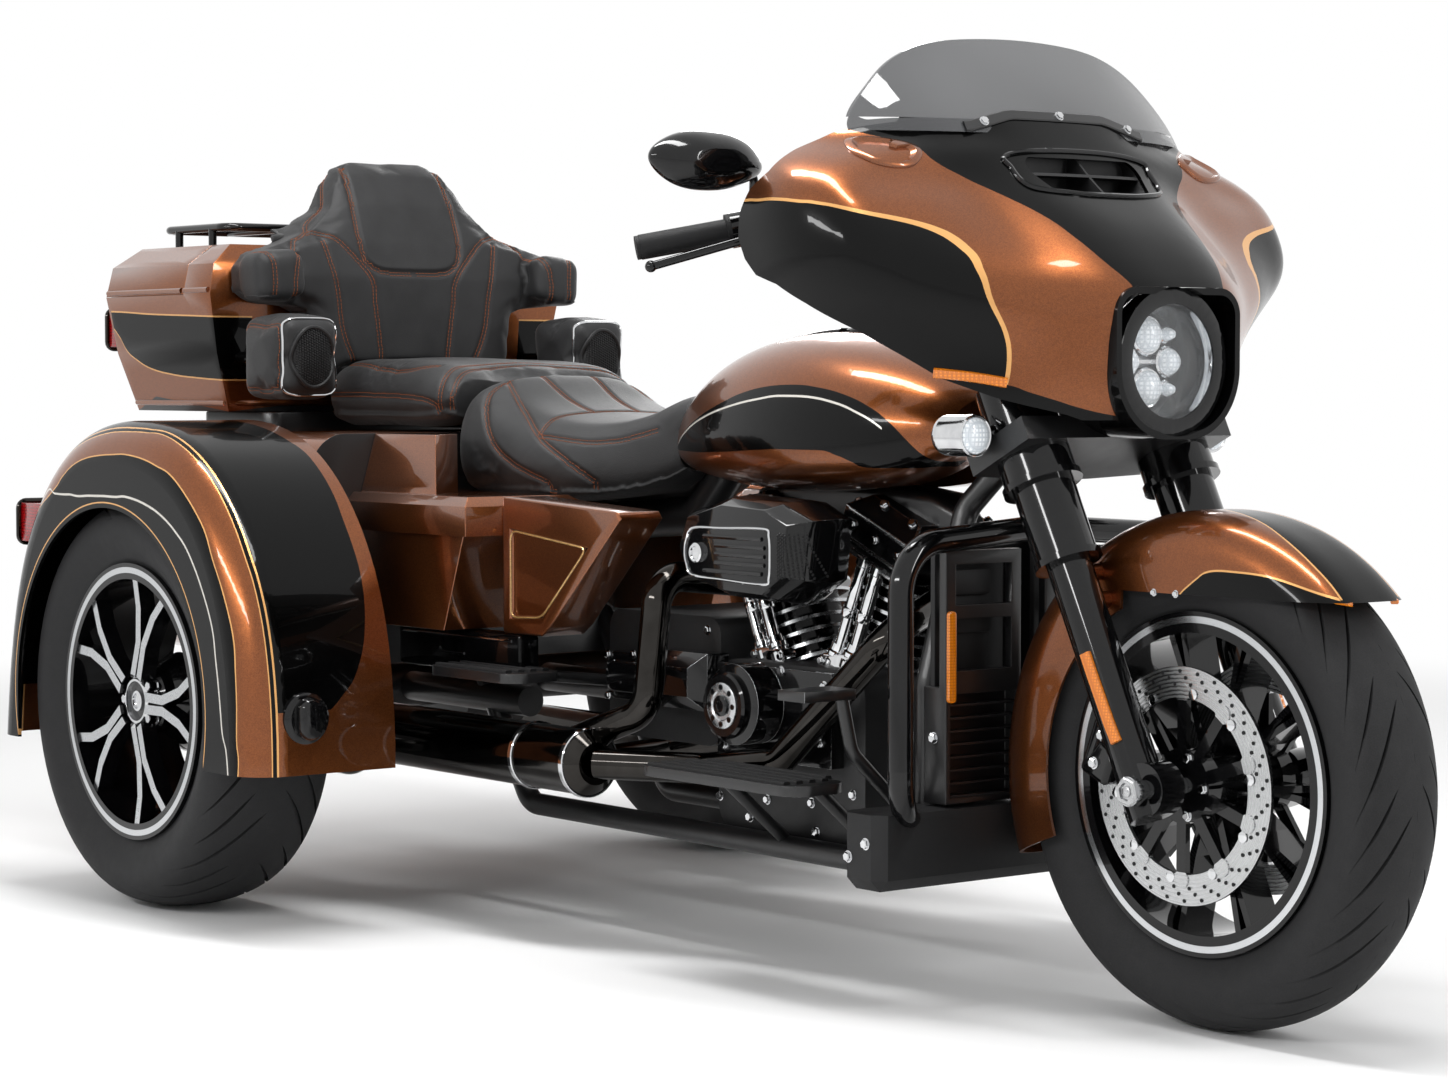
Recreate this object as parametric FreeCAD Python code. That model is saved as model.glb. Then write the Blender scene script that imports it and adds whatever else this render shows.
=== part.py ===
import FreeCAD, Part
import math
import os

# Motorized trike. X points forward, Y to the rider's left, Z up, and the floor is at Z zero.
# The origin lies on the floor under the middle of the overall length. Lengths are in millimetres.

# Layout of the wheels
wheelbase = 1730.0
front_axle_x = 1024.0
front_tyre_radius = 316.0
rear_tyre_radius = 325.0
rear_track_half = 545.0
running_gap = 0.3
cut_overrun = 5.0

# Steering axis, measured from the front wheel's contact point
rake_deg = 26.2
trail = 91.0
fork_offset = 40.0
fork_half_spacing = 127.0

# Front wheel
front_tyre_half_width = 68.0
front_flange_radius = 219.0
front_flange_half_width = 53.0
front_flange_width = 7.0
front_barrel_radius = 205.0
front_barrel_wall = 13.0
front_hub_radius = 38.0
front_hub_half_width = 56.0
front_spoke_half_width = 26.0
front_spoke_thickness = 11.0
front_spoke_count = 10
front_axle_radius = 12.5
front_axle_half_length = 173.0
disc_outer_radius = 151.0
disc_inner_radius = 112.0
disc_thickness = 5.0
disc_offset = 75.0
disc_bolt_circle = 118.0
disc_bolt_radius = 7.0
disc_bolt_count = 10
carrier_arm_width = 16.0
carrier_thickness = 8.0

# Rear wheels
rear_tyre_half_width = 105.0
rear_flange_radius = 216.0
rear_flange_half_width = 89.0
rear_flange_width = 8.0
rear_barrel_radius = 203.0
rear_barrel_wall = 12.0
rear_hub_radius = 52.0
rear_hub_width = 72.0
rear_hub_recess = 18.0
rear_spoke_depth = 30.0
rear_spoke_width = 15.0
rear_spoke_pairs = 5
rear_spoke_spread_deg = 11.0
rear_axle_radius = 22.0
rear_axle_housing_radius = 38.0
rear_axle_housing_half = 430.0
rear_drive_case_radius = 95.0
rear_drive_case_width = 120.0

# Fork
slider_radius = 29.5
slider_low = 292.0
lower_ring_height = 638.0
lower_shroud_length = 109.0
upper_shroud_length = 143.0
fork_tube_radius = 25.0
fork_tube_length = 155.0
lower_shroud_radius = 41.0
upper_shroud_radius = 49.0
ring_width = 9.0
ring_overhang = 4.0
axle_clamp_radius = 34.0
axle_clamp_half_width = 20.0
clamp_thickness = 32.0
lower_clamp_height = 790.0
upper_clamp_height = 1000.0
stem_radius = 16.0
neck_radius = 34.0
neck_gap = 1.0
upper_ring_height = lower_ring_height + lower_shroud_length
shroud_top_height = upper_ring_height + upper_shroud_length
fork_tube_top = shroud_top_height + fork_tube_length

# Front fender
front_fender_radius = 347.0
front_fender_half_width = 84.0
front_fender_thickness = 4.0
front_fender_side_drop = 105.0
front_fender_tip_deg = 43.0
front_fender_rear_deg = 201.0

# Calipers
caliper_length = 110.0
caliper_depth = 52.0
caliper_half_width = 26.0
caliper_slot_half_width = 5.0
caliper_deg = 158.0

# Fairing
fairing_low = 775.0
fairing_high = 1168.0
fairing_back_x = 540.0
fairing_depth = 410.0
fairing_half_width = 422.0
fairing_thickness = 7.0
headlamp_height = 850.0
headlamp_radius = 96.0
headlamp_lens_radius = 74.0
headlamp_depth = 110.0
headlamp_front_x = 928.0
nacelle_half_width = 112.0
nacelle_low = 750.0
nacelle_high = 945.0
nacelle_front_x = 938.0
nacelle_depth = 95.0
nacelle_wall = 9.0
nacelle_top_corner = 36.0
nacelle_low_corner = 92.0
vent_top_half_width = 112.0
vent_low_half_width = 86.0
vent_low = 1072.0
vent_high = 1118.0
vent_back_x = 722.0
vent_wall = 8.0
windshield_thickness = 4.0
windshield_top = 1284.0
windshield_base_z = 1150.0
windshield_half_width = 303.0
windshield_base_x = 715.0
windshield_sweep = 88.0
windshield_lean = 88.0
dash_thickness = 30.0
dash_x = 668.0
dash_height = 116.0

# Handlebar and controls
bar_radius = 12.7
grip_radius = 17.0
grip_length = 118.0
bar_end_y = 440.0
bar_end_x = 369.0
bar_end_z = 1003.0
bar_bend_radius = 70.0
lever_radius = 6.0
lever_ball_radius = 8.0
lever_bend = 24.0
lever_drop = 26.0
switch_radius = 24.0
switch_length = 60.0
mirror_length = 182.0
mirror_height = 78.0
mirror_depth = 46.0
mirror_x = 481.0
mirror_y = 409.0
mirror_z = 1114.0
mirror_stem_radius = 6.0
stem_sink = 1.0
passing_lamp_radius = 27.0
passing_lamp_depth = 66.0
passing_lamp_x = 790.0
passing_lamp_y = 217.0
passing_lamp_z = 755.0

# Fuel tank
tank_front_x = 626.0
tank_length = 696.0
tank_rear_x = tank_front_x - tank_length
tank_low = 672.0
tank_height = 222.0
tank_half_width = 186.0
tunnel_half_width = 40.0
tunnel_height = 110.0

# Engine
crank_x = 290.0
crank_z = 230.0
vee_half_deg = 22.5
cylinder_foot = 185.0
cylinder_head = 370.0
cylinder_core_radius = 52.0
fin_radius = 74.0
fin_count = 10
fin_thickness = 5.0
rocker_height = 80.0
rocker_half_length = 78.0
rocker_half_width = 92.0
crankcase_length = 330.0
crankcase_height = 250.0
crankcase_low = 172.0
crankcase_half_width = 117.0
gearbox_length = 270.0
gearbox_height = 190.0
gearbox_low = 290.0
gearbox_half_width = 117.0
cam_cover_radius = 58.0
cam_cover_x = 246.0
cam_cover_z = 366.0
cam_cover_depth = 46.0
gearbox_cover_x = 84.0
gearbox_cover_z = 388.0
gearbox_cover_length = 128.0
gearbox_cover_height = 84.0
gearbox_cover_depth = 60.0
pushrod_radius = 10.0
air_cleaner_x = 325.0
air_cleaner_z = 592.0
air_cleaner_length = 300.0
air_cleaner_height = 150.0
air_cleaner_inner_y = 150.0
air_cleaner_depth = 100.0
primary_length = 560.0
primary_height = 200.0
primary_depth = 62.0
primary_x = 150.0
primary_z = 330.0

# Exhaust
header_radius = 22.0
header_bend = 90.0
muffler_radius = 48.0
muffler_front_x = 60.0
muffler_rear_x = -560.0
muffler_y = 290.0
muffler_z = 272.0
tail_pipe_radius = 28.0
tail_pipe_z = 222.0
tail_pipe_rear_x = -1150.0
tail_tip_radius = 33.0
tail_tip_length = 140.0

# Frame
rail_radius = 17.0
rail_half_spacing = 135.0
rail_z = 165.0
rail_front_x = 606.0
rail_rear_x = -330.0
backbone_radius = 30.0
backbone_z = 742.0
backbone_rear_z = 590.0
down_tube_bend = 80.0

# Engine guard and lower front
guard_radius = 17.0
guard_half_width = 262.0
guard_top_z = 628.0
guard_low_z = 262.0
guard_x = 696.0
guard_bend = 70.0
radiator_thickness = 44.0
radiator_inner_y = 22.0
radiator_outer_y = 158.0
radiator_low = 262.0
radiator_mid = 418.0
radiator_high = 600.0
slat_count = 9
slat_thickness = 3.0
lower_cover_half_width = 285.0
lower_cover_low = 156.0
lower_cover_high = 258.0
lower_cover_x = 600.0
lower_cover_length = 80.0

# Foot controls
board_thickness = 14.0
rider_board_length = 350.0
rider_board_x = 410.0
rider_board_z = 292.0
rider_board_inner_y = 250.0
rider_board_outer_y = 352.0
passenger_board_length = 230.0
passenger_board_x = -155.0
passenger_board_z = 398.0
passenger_board_outer_y = 372.0
pedal_radius = 9.0
pedal_x = 578.0
pedal_z = 417.0

# Seats
rider_seat_rear_x = -468.0
rider_seat_length = 478.0
rider_seat_low = 640.0
rider_seat_height = 196.0
rider_seat_half_width = 205.0
pillion_rear_x = -884.0
pillion_length = 412.0
pillion_low = 752.0
pillion_height = 110.0
pillion_half_width = 208.0
backrest_low = 800.0
backrest_high = 1212.0
backrest_x = -942.0
backrest_mount_half_width = 110.0
backrest_mount_low = 850.0
backrest_mount_high = 930.0
backrest_depth = 70.0
backrest_half_width = 326.0
wing_half_width = 334.0
wing_inner_y = 236.0
wing_low = 950.0
wing_high = 1050.0
wing_rear_x = -915.0
wing_length = 96.0
wing_corner = 30.0
pod_x = -795.0
pod_z = 862.0
pod_length = 150.0
pod_height = 140.0
pod_inner_y = 232.0
pod_outer_y = 345.0

# Rear body
body_half_width = 428.0
body_front_x = -500.0
body_rear_x = -1165.0
body_low = 380.0
body_high = 742.0
body_wall = 10.0
body_corner = 60.0
door_thickness = 24.0
door_half_width = 300.0
door_low = 430.0
door_high = 700.0
door_gap = 5.0
step_front_x = -165.0
step_outer_y = 352.0
step_ledge_width = 14.0
step_inner_y = 150.0
step_low = 450.0
step_mid = 594.0
step_high = 652.0
step_top_inset = 26.0
step_nose_length = 73.0
step_nose_width = 88.0
side_cover_front_x = 132.0
side_cover_outer_y = 300.0
side_cover_inner_y = 222.0
side_cover_low = 449.0
side_cover_high = 652.0
side_cover_recess = 5.0

# Rear fenders
fender_outer_y = 675.0
fender_inner_y = 428.0
fender_thickness = 6.0
fender_rear_x = -1096.0
fender_front_x = -262.0
fender_low = 247.0
fender_high = 762.0
fender_shoulder = 62.0
arch_radius = 303.0
tail_lamp_rear_x = -1062.0
tail_lamp_z = 594.0
tail_lamp_height = 62.0
tail_lamp_depth = 46.0
tail_lamp_half_width = 38.0

# Luggage case
case_rear_x = -1332.0
case_front_x = -945.0
lid_front_x = -1036.0
case_half_width = 352.0
case_low = 772.0
case_split = 968.0
case_high = 1052.0
case_wall = 6.0
case_gap = 0.6
case_lamp_length = 60.0
case_lamp_height = 62.0
case_lamp_z = 913.0
rack_radius = 7.0
rack_z = 1085.0
rack_end_inset = 52.0
rack_side_inset = 100.0
rack_front_inset = 24.0
case_mount_radius = 20.0
case_mount_y = 150.0
case_mount_inset = 60.0
case_lamp_stand = 8.0
case_lamp_sink = 30.0
case_corner_share = 0.88
hinge_radius = 6.0
hinge_length = 56.0
hinge_inset = 50.0


def vec(x, y, z):
    return FreeCAD.Vector(x, y, z)


def box(x_low, x_high, y_low, y_high, z_low, z_high):
    return Part.makeBox(x_high - x_low, y_high - y_low, z_high - z_low, vec(x_low, y_low, z_low))


def rod(start, end, radius):
    way = end.sub(start)
    return Part.makeCylinder(radius, way.Length, start, way)


def mirrored(shape):
    return shape.mirror(vec(0, 0, 0), vec(0, 1, 0))


def both_sides(shape):
    return Part.makeCompound([shape, mirrored(shape)])


def joined(shapes):
    first = shapes[0]
    if len(shapes) == 1:
        return first
    return first.multiFuse(shapes[1:]).removeSplitter()


def closed_curve(points):
    curve = Part.BSplineCurve()
    curve.interpolate(points, PeriodicFlag=True)
    return Part.Wire([curve.toShape()])


def open_curve(points):
    curve = Part.BSplineCurve()
    curve.interpolate(points)
    return curve.toShape()


def plate(points, thickness_vector):
    """Straight sided plate between an outline and the same outline moved by the vector."""
    return Part.Face(Part.makePolygon(points + [points[0]])).extrude(thickness_vector)


def smooth_plate(points, thickness_vector):
    return Part.Face(closed_curve(points)).extrude(thickness_vector)


def spread(shares, x_low, z_low, length, height, y):
    """Outline shares set out in a side view rectangle at one Y."""
    return [vec(x_low + u * length, y, z_low + v * height) for u, v in shares]


def turned_about_y(points):
    """Solid of revolution about the Y axis from (radius, y) points."""
    outline = [vec(radius, y, 0) for radius, y in points]
    face = Part.Face(Part.makePolygon(outline + [outline[0]]))
    return face.revolve(vec(0, 0, 0), vec(0, 1, 0), 360)


def bent_tube(points, radius, bend):
    """Round tube along straight runs with a tangent arc at each corner."""
    edges = []
    start = points[0]
    for before, corner, after in zip(points, points[1:], points[2:]):
        arrive = corner.sub(before).normalize()
        leave = after.sub(corner).normalize()
        half_turn = arrive.getAngle(leave) / 2
        reach = bend * math.tan(half_turn)
        first = corner.sub(vec(*arrive).multiply(reach))
        last = corner.add(vec(*leave).multiply(reach))
        inward = vec(*leave).sub(arrive).normalize()
        centre = corner.add(vec(*inward).multiply(bend / math.cos(half_turn)))
        middle = centre.sub(vec(*inward).multiply(bend))
        edges.append(Part.LineSegment(start, first).toShape())
        edges.append(Part.Arc(first, middle, last).toShape())
        start = last
    edges.append(Part.LineSegment(start, points[-1]).toShape())
    spine = Part.Wire(edges)
    ring = Part.Wire([Part.makeCircle(radius, points[0], points[1].sub(points[0]))])
    return spine.makePipeShell([ring], True, False)


# The steering frame: its Z axis is the steering axis and its origin is where that axis meets the floor.
steering_foot_x = front_axle_x + trail
rake = math.radians(rake_deg)
axle_height = trail * math.sin(rake) + front_tyre_radius * math.cos(rake)
axle_offset = front_tyre_radius * math.sin(rake) - trail * math.cos(rake)


def raked(shape):
    turned = shape.copy()
    turned.rotate(vec(0, 0, 0), vec(0, 1, 0), -rake_deg)
    turned.translate(vec(steering_foot_x, 0, 0))
    return turned


def raked_point(ahead, y, height):
    x = steering_foot_x + ahead * math.cos(rake) - height * math.sin(rake)
    return vec(x, y, ahead * math.sin(rake) + height * math.cos(rake))


def tyre(bore_radius, bead_half, flange_radius, half_width, outer_radius):
    """Closed tyre ring with a rounded crown, seated between the rim's flanges."""
    side_height = outer_radius - flange_radius
    foot = flange_radius + running_gap
    half_shares = ((0.0, bead_half / half_width), (0.28, 0.93), (0.5, 1.0), (0.74, 0.93), (0.92, 0.62),
                   (1.0, 0.0))
    upper = [vec(foot + u * (side_height - running_gap), v * half_width, 0) for u, v in half_shares]
    lower = [vec(point.x, -point.y, 0) for point in reversed(upper[:-1])]
    crown = open_curve(upper + lower)
    corner = bead_half - running_gap
    base = Part.makePolygon([lower[-1], vec(foot, -corner, 0), vec(bore_radius, -corner, 0),
                             vec(bore_radius, corner, 0), vec(foot, corner, 0), upper[0]])
    face = Part.Face(Part.Wire([crown] + base.Edges))
    return face.revolve(vec(0, 0, 0), vec(0, 1, 0), 360)


def rim_barrel(barrel_radius, wall, flange_radius, half_width, flange_width):
    bead = half_width - flange_width
    outline = [(barrel_radius - wall, -half_width), (flange_radius, -half_width), (flange_radius, -bead),
               (barrel_radius, -bead), (barrel_radius, bead), (flange_radius, bead),
               (flange_radius, half_width), (barrel_radius - wall, half_width)]
    return turned_about_y(outline)


def front_wheel():
    centre = vec(front_axle_x, 0, front_tyre_radius)
    bead = front_flange_half_width - front_flange_width
    rubber = tyre(front_barrel_radius + running_gap, bead, front_flange_radius, front_tyre_half_width,
                  front_tyre_radius)
    rubber.translate(centre)
    barrel = rim_barrel(front_barrel_radius, front_barrel_wall, front_flange_radius, front_flange_half_width,
                        front_flange_width)
    hub = turned_about_y([(front_axle_radius + running_gap, -front_hub_half_width),
                          (front_hub_radius, -front_hub_half_width),
                          (front_hub_radius, front_hub_half_width),
                          (front_axle_radius + running_gap, front_hub_half_width)])
    inner = front_barrel_radius - front_barrel_wall
    half = front_spoke_thickness / 2
    fork_shares = ((0.12, -1.0), (0.52, -1.0), (1.03, -2.9), (1.03, -1.1), (0.66, 0.0), (1.03, 1.1),
                   (1.03, 2.9),
                   (0.52, 1.0), (0.12, 1.0))
    outline = [vec(u * inner, -front_spoke_half_width, v * half) for u, v in fork_shares]
    spoke = plate(outline, vec(0, 2 * front_spoke_half_width, 0))
    spokes = []
    for index in range(front_spoke_count):
        copy = spoke.copy()
        copy.rotate(vec(0, 0, 0), vec(0, 1, 0), 360 * index / front_spoke_count)
        spokes.append(copy)
    bore = Part.makeCylinder(front_axle_radius + running_gap, 2 * front_hub_half_width,
                             vec(0, -front_hub_half_width, 0), vec(0, 1, 0))
    rim = joined([barrel, hub] + spokes).cut(bore)
    rim.translate(centre)
    return rubber, rim


def brake_discs():
    """Ring with a drilled band, a spider of arms and a ring of bobbins on each side of the hub."""
    low = disc_offset - disc_thickness / 2
    ring = turned_about_y([(disc_inner_radius, low), (disc_outer_radius, low),
                           (disc_outer_radius, low + disc_thickness),
                           (disc_inner_radius, low + disc_thickness)])
    inner_low = disc_offset - carrier_thickness / 2
    carrier = turned_about_y([(front_axle_radius + running_gap, front_hub_half_width),
                              (front_hub_radius * 1.25, front_hub_half_width),
                              (front_hub_radius * 1.25, inner_low + carrier_thickness),
                              (front_axle_radius + running_gap, inner_low + carrier_thickness)])
    arms = []
    for index in range(disc_bolt_count):
        arm = box(front_hub_radius, disc_bolt_circle, inner_low, inner_low + carrier_thickness,
                  -carrier_arm_width / 2, carrier_arm_width / 2)
        boss = Part.makeCylinder(disc_bolt_radius + disc_thickness, carrier_thickness,
                                 vec(disc_bolt_circle, inner_low, 0), vec(0, 1, 0))
        arm = arm.fuse(boss)
        arm.rotate(vec(0, 0, 0), vec(0, 1, 0), 360 * (index + 0.5) / disc_bolt_count)
        arms.append(arm)
    side = joined([ring, carrier] + arms)
    side.translate(vec(front_axle_x, 0, front_tyre_radius))
    return both_sides(side)


def front_axle():
    low = vec(front_axle_x, -front_axle_half_length, front_tyre_radius)
    high = vec(front_axle_x, front_axle_half_length, front_tyre_radius)
    shaft = rod(low, high, front_axle_radius)
    nut = rod(low, vec(front_axle_x, -front_axle_half_length + front_axle_radius, front_tyre_radius),
              front_axle_radius * 1.5)
    return joined([shaft, nut, mirrored(nut)])


def fork_leg():
    def cylinder(radius, low, high):
        return Part.makeCylinder(radius, high - low, vec(fork_offset, -fork_half_spacing, low))

    parts = [cylinder(slider_radius, slider_low, lower_ring_height),
             cylinder(lower_shroud_radius, lower_ring_height, upper_ring_height),
             cylinder(upper_shroud_radius, upper_ring_height, shroud_top_height),
             cylinder(fork_tube_radius, shroud_top_height, fork_tube_top),
             cylinder(lower_shroud_radius + ring_overhang, lower_ring_height, lower_ring_height + ring_width),
             cylinder(upper_shroud_radius + ring_overhang, upper_ring_height, upper_ring_height + ring_width)]
    leg = raked(joined(parts))
    lug = Part.makeCylinder(axle_clamp_radius, 2 * axle_clamp_half_width,
                            vec(front_axle_x, -fork_half_spacing - axle_clamp_half_width, front_tyre_radius),
                            vec(0, 1, 0))
    bore = Part.makeCylinder(front_axle_radius + running_gap, 2 * fork_half_spacing,
                             vec(front_axle_x, -2 * fork_half_spacing, front_tyre_radius), vec(0, 1, 0))
    return leg.fuse(lug).cut(bore)


def fork_tubes():
    return both_sides(fork_leg())


def triple_clamp():
    """Two clamp plates and the steering stem between them."""
    room = upper_shroud_radius + ring_width
    reach = fork_offset + room
    side_y = fork_half_spacing + room
    plates = []
    for height in (lower_clamp_height, upper_clamp_height):
        outline = [vec(-neck_radius, -neck_radius, height), vec(fork_offset - room, -side_y, height),
                   vec(reach, -side_y, height), vec(reach, side_y, height),
                   vec(fork_offset - room, side_y, height),
                   vec(-neck_radius, neck_radius, height)]
        plates.append(plate(outline, vec(0, 0, clamp_thickness)))
    stem = Part.makeCylinder(stem_radius, upper_clamp_height - lower_clamp_height,
                             vec(0, 0, lower_clamp_height))
    bracket = rod(raked_point(fork_offset + upper_shroud_radius, 0, upper_clamp_height + clamp_thickness / 2),
                  vec(headlamp_front_x - headlamp_depth, 0, headlamp_height), stem_radius)
    return joined([raked(joined(plates + [stem])), bracket]).cut(fork_tubes()).cut(headlamp()).cut(nacelle())


def front_fender():
    """Curved blade over the front wheel with deep sides that end in a long rear leg."""
    inner = front_fender_radius - front_fender_thickness
    outer_half = front_fender_half_width
    inner_half = outer_half - front_fender_thickness
    low = front_fender_radius - front_fender_side_drop
    shoulder_shares = ((0.0, 1.0), (0.22, 0.99), (0.38, 0.93), (0.48, 0.8), (0.56, 0.0))

    def side(radius, half, foot):
        points = []
        drop = radius - foot
        for u, v in shoulder_shares:
            points.append(vec(foot + drop * min(1.0, u / 0.56), v * half, 0))
        return points

    outer = side(front_fender_radius, outer_half, low)
    hollow = side(inner, inner_half, low)
    outer_arc = open_curve(outer + [vec(p.x, -p.y, 0) for p in reversed(outer[:-1])])
    inner_arc = open_curve(hollow + [vec(p.x, -p.y, 0) for p in reversed(hollow[:-1])])
    edges = [outer_arc, Part.LineSegment(vec(low, -outer_half, 0), vec(low, -inner_half, 0)).toShape(),
             inner_arc, Part.LineSegment(vec(low, inner_half, 0), vec(low, outer_half, 0)).toShape()]
    face = Part.Face(Part.Wire(Part.__sortEdges__(edges)))
    sweep = front_fender_rear_deg - front_fender_tip_deg
    blade = face.revolve(vec(0, 0, 0), vec(0, 1, 0), -sweep)
    blade.rotate(vec(0, 0, 0), vec(0, 1, 0), -front_fender_tip_deg)
    blade.translate(vec(front_axle_x, 0, front_tyre_radius))
    room = 2 * front_fender_radius
    skirt = box(front_axle_x - front_fender_side_drop, front_axle_x + room, -room, room, 0,
                front_tyre_radius + front_fender_radius - front_fender_side_drop)
    blade = blade.cut(skirt)
    bosses = []
    for reach_share in (0.76, 0.87):
        height = axle_height + reach_share * front_fender_radius
        place = raked_point(fork_offset, -inner_half, height)
        bosses.append(rod(place, vec(place.x, -fork_half_spacing, place.z), axle_clamp_radius / 3))
    side_bosses = both_sides(joined(bosses[:1])).Solids + both_sides(joined(bosses[1:])).Solids
    return joined([blade] + side_bosses).cut(fork_tubes())


def calipers():
    """Block over the disc's rear edge on each side, with a slot for the disc."""
    angle = math.radians(caliper_deg)
    radius = disc_outer_radius - caliper_depth / 2 + caliper_slot_half_width
    body = box(-caliper_depth / 2, caliper_depth / 2, -caliper_half_width, caliper_half_width,
               -caliper_length / 2, caliper_length / 2)
    body = body.makeFillet(caliper_half_width / 3, body.Edges)
    body.rotate(vec(0, 0, 0), vec(0, 1, 0), -caliper_deg)
    body.translate(vec(front_axle_x + radius * math.cos(angle), -disc_offset,
                       front_tyre_radius + radius * math.sin(angle)))
    slot = Part.makeCylinder(disc_outer_radius + caliper_slot_half_width, 2 * caliper_slot_half_width,
                             vec(front_axle_x, -disc_offset - caliper_slot_half_width, front_tyre_radius),
                             vec(0, 1, 0))
    centre = vec(front_axle_x + radius * math.cos(angle), -disc_offset - caliper_half_width / 2,
                 front_tyre_radius + radius * math.sin(angle))
    leg_point = raked_point(fork_offset, -fork_half_spacing, axle_height + caliper_length / 2)
    bracket = rod(centre, leg_point, caliper_half_width / 2)
    return both_sides(joined([body, bracket]).cut(slot)).cut(fork_tubes())


fairing_level_shares = (
    (0.0, ((0.939, 0), (0.89, 0.244), (0.82, 0.332), (0.737, 0.417), (0.646, 0.507), (0.549, 0.592),
           (0.402, 0.675), (0.22, 0.746), (0, 0.794))),
    (0.0865, ((0.963, 0), (0.922, 0.251), (0.841, 0.351), (0.761, 0.441), (0.671, 0.536), (0.573, 0.621),
              (0.427, 0.711), (0.244, 0.782), (0, 0.829))),
    (0.181, ((0.976, 0), (0.939, 0.251), (0.849, 0.374), (0.744, 0.481), (0.641, 0.588), (0.549, 0.675),
             (0.427, 0.754), (0.244, 0.829), (0, 0.877))),
    (0.288, ((0.98, 0), (0.951, 0.249), (0.861, 0.386), (0.744, 0.528), (0.602, 0.675), (0.493, 0.777),
             (0.39, 0.841), (0.244, 0.896), (0, 0.924))),
    (0.397, ((1, 0), (0.966, 0.237), (0.861, 0.398), (0.751, 0.576), (0.622, 0.742), (0.483, 0.877),
             (0.383, 0.927), (0.244, 0.953), (0, 0.953))),
    (0.494, ((0.941, 0), (0.912, 0.225), (0.8, 0.41), (0.712, 0.597), (0.617, 0.777), (0.512, 0.927),
             (0.398, 0.974), (0.256, 0.988), (0, 0.967))),
    (0.598, ((0.846, 0), (0.81, 0.232), (0.695, 0.422), (0.634, 0.611), (0.578, 0.789), (0.507, 0.936),
             (0.395, 0.986), (0.244, 1), (0, 0.974))),
    (0.692, ((0.732, 0), (0.698, 0.244), (0.598, 0.427), (0.556, 0.616), (0.517, 0.794), (0.459, 0.938),
             (0.356, 0.983), (0.207, 0.995), (0, 0.969))),
    (0.776, ((0.622, 0), (0.593, 0.256), (0.517, 0.438), (0.476, 0.616), (0.444, 0.777), (0.4, 0.915),
             (0.302, 0.962), (0.166, 0.969), (0, 0.943))),
    (0.852, ((0.541, 0), (0.517, 0.261), (0.463, 0.45), (0.415, 0.616), (0.378, 0.763), (0.327, 0.846),
             (0.244, 0.896), (0.122, 0.91), (0, 0.891))),
    (0.913, ((0.49, 0), (0.468, 0.261), (0.41, 0.45), (0.349, 0.604), (0.28, 0.735), (0.215, 0.794),
             (0.141, 0.82), (0.0683, 0.825), (0, 0.815))),
    (1, ((0.427, 0), (0.412, 0.213), (0.376, 0.379), (0.322, 0.533), (0.256, 0.652), (0.19, 0.723),
         (0.127, 0.754), (0.061, 0.758), (0, 0.746))))


def moved_inward(points, inset):
    """The same plan outline moved towards the rider by the inset, square to the curve."""
    moved = []
    last = len(points) - 1
    for index, point in enumerate(points):
        before = points[max(index - 1, 0)]
        after = points[min(index + 1, last)]
        along = after.sub(before).normalize()
        moved.append(vec(point.x - inset * abs(along.y), point.y + inset * along.x, point.z))
    return moved


def fairing_section(level, inset):
    """Plan outline of the fairing at one level, from the right rear edge round the nose to the left."""
    z_share, half_shares = level
    z = fairing_low + z_share * (fairing_high - fairing_low)
    left = [vec(fairing_back_x + u * fairing_depth, v * fairing_half_width, z) for u, v in half_shares]
    right = [vec(point.x, -point.y, z) for point in reversed(left[1:])]
    return moved_inward(right + left, inset)


def fairing_body(inset):
    """Solid body of the fairing, closed by a flat back."""
    wires = []
    for level in fairing_level_shares:
        points = fairing_section(level, inset)
        back = Part.LineSegment(points[-1], points[0]).toShape()
        wires.append(Part.Wire([open_curve(points), back]))
    return Part.makeLoft(wires, True, False)


def side_cutter():
    """Side view of the fairing: lower edge sweeping up to the wing tip, and the rear edge."""
    outline_shares = ((1.1, -0.06), (0.9, -0.03), (0.824, 0.018), (0.7, 0.07), (0.583, 0.135), (0.42, 0.288),
                      (0.3, 0.38), (0.2, 0.443), (0.1, 0.475), (0.045, 0.53), (0.012, 0.6), (0.015, 0.68),
                      (0.05, 0.76), (0.122, 0.815), (0.15, 0.89), (0.2, 0.945), (0.3, 0.985), (0.34, 1.1),
                      (1.1, 1.1))
    side = -2 * fairing_half_width
    points = spread(outline_shares, fairing_back_x, fairing_low, fairing_depth, fairing_high - fairing_low,
                    side)
    return plate(points, vec(0, -2 * side, 0))


def nacelle_block(inset, x_low, x_high):
    """Rounded square block round the headlamp, with wider corners below."""
    half = nacelle_half_width - inset
    block = box(x_low, x_high, -half, half, nacelle_low + inset, nacelle_high - inset)
    along = [edge for edge in block.Edges if abs(edge.tangentAt(edge.FirstParameter).x) > 0.9]
    upper = [edge for edge in along if edge.CenterOfMass.z > headlamp_height]
    lower = [edge for edge in along if edge.CenterOfMass.z < headlamp_height]
    block = block.makeFillet(nacelle_low_corner - inset, lower)
    upper = [edge for edge in block.Edges if abs(edge.tangentAt(edge.FirstParameter).x) > 0.9
             and edge.CenterOfMass.z > headlamp_height and edge.Length > (x_high - x_low) / 2
             and abs(abs(edge.CenterOfMass.y) - half) < running_gap]
    return block.makeFillet(nacelle_top_corner - inset, upper)


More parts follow.
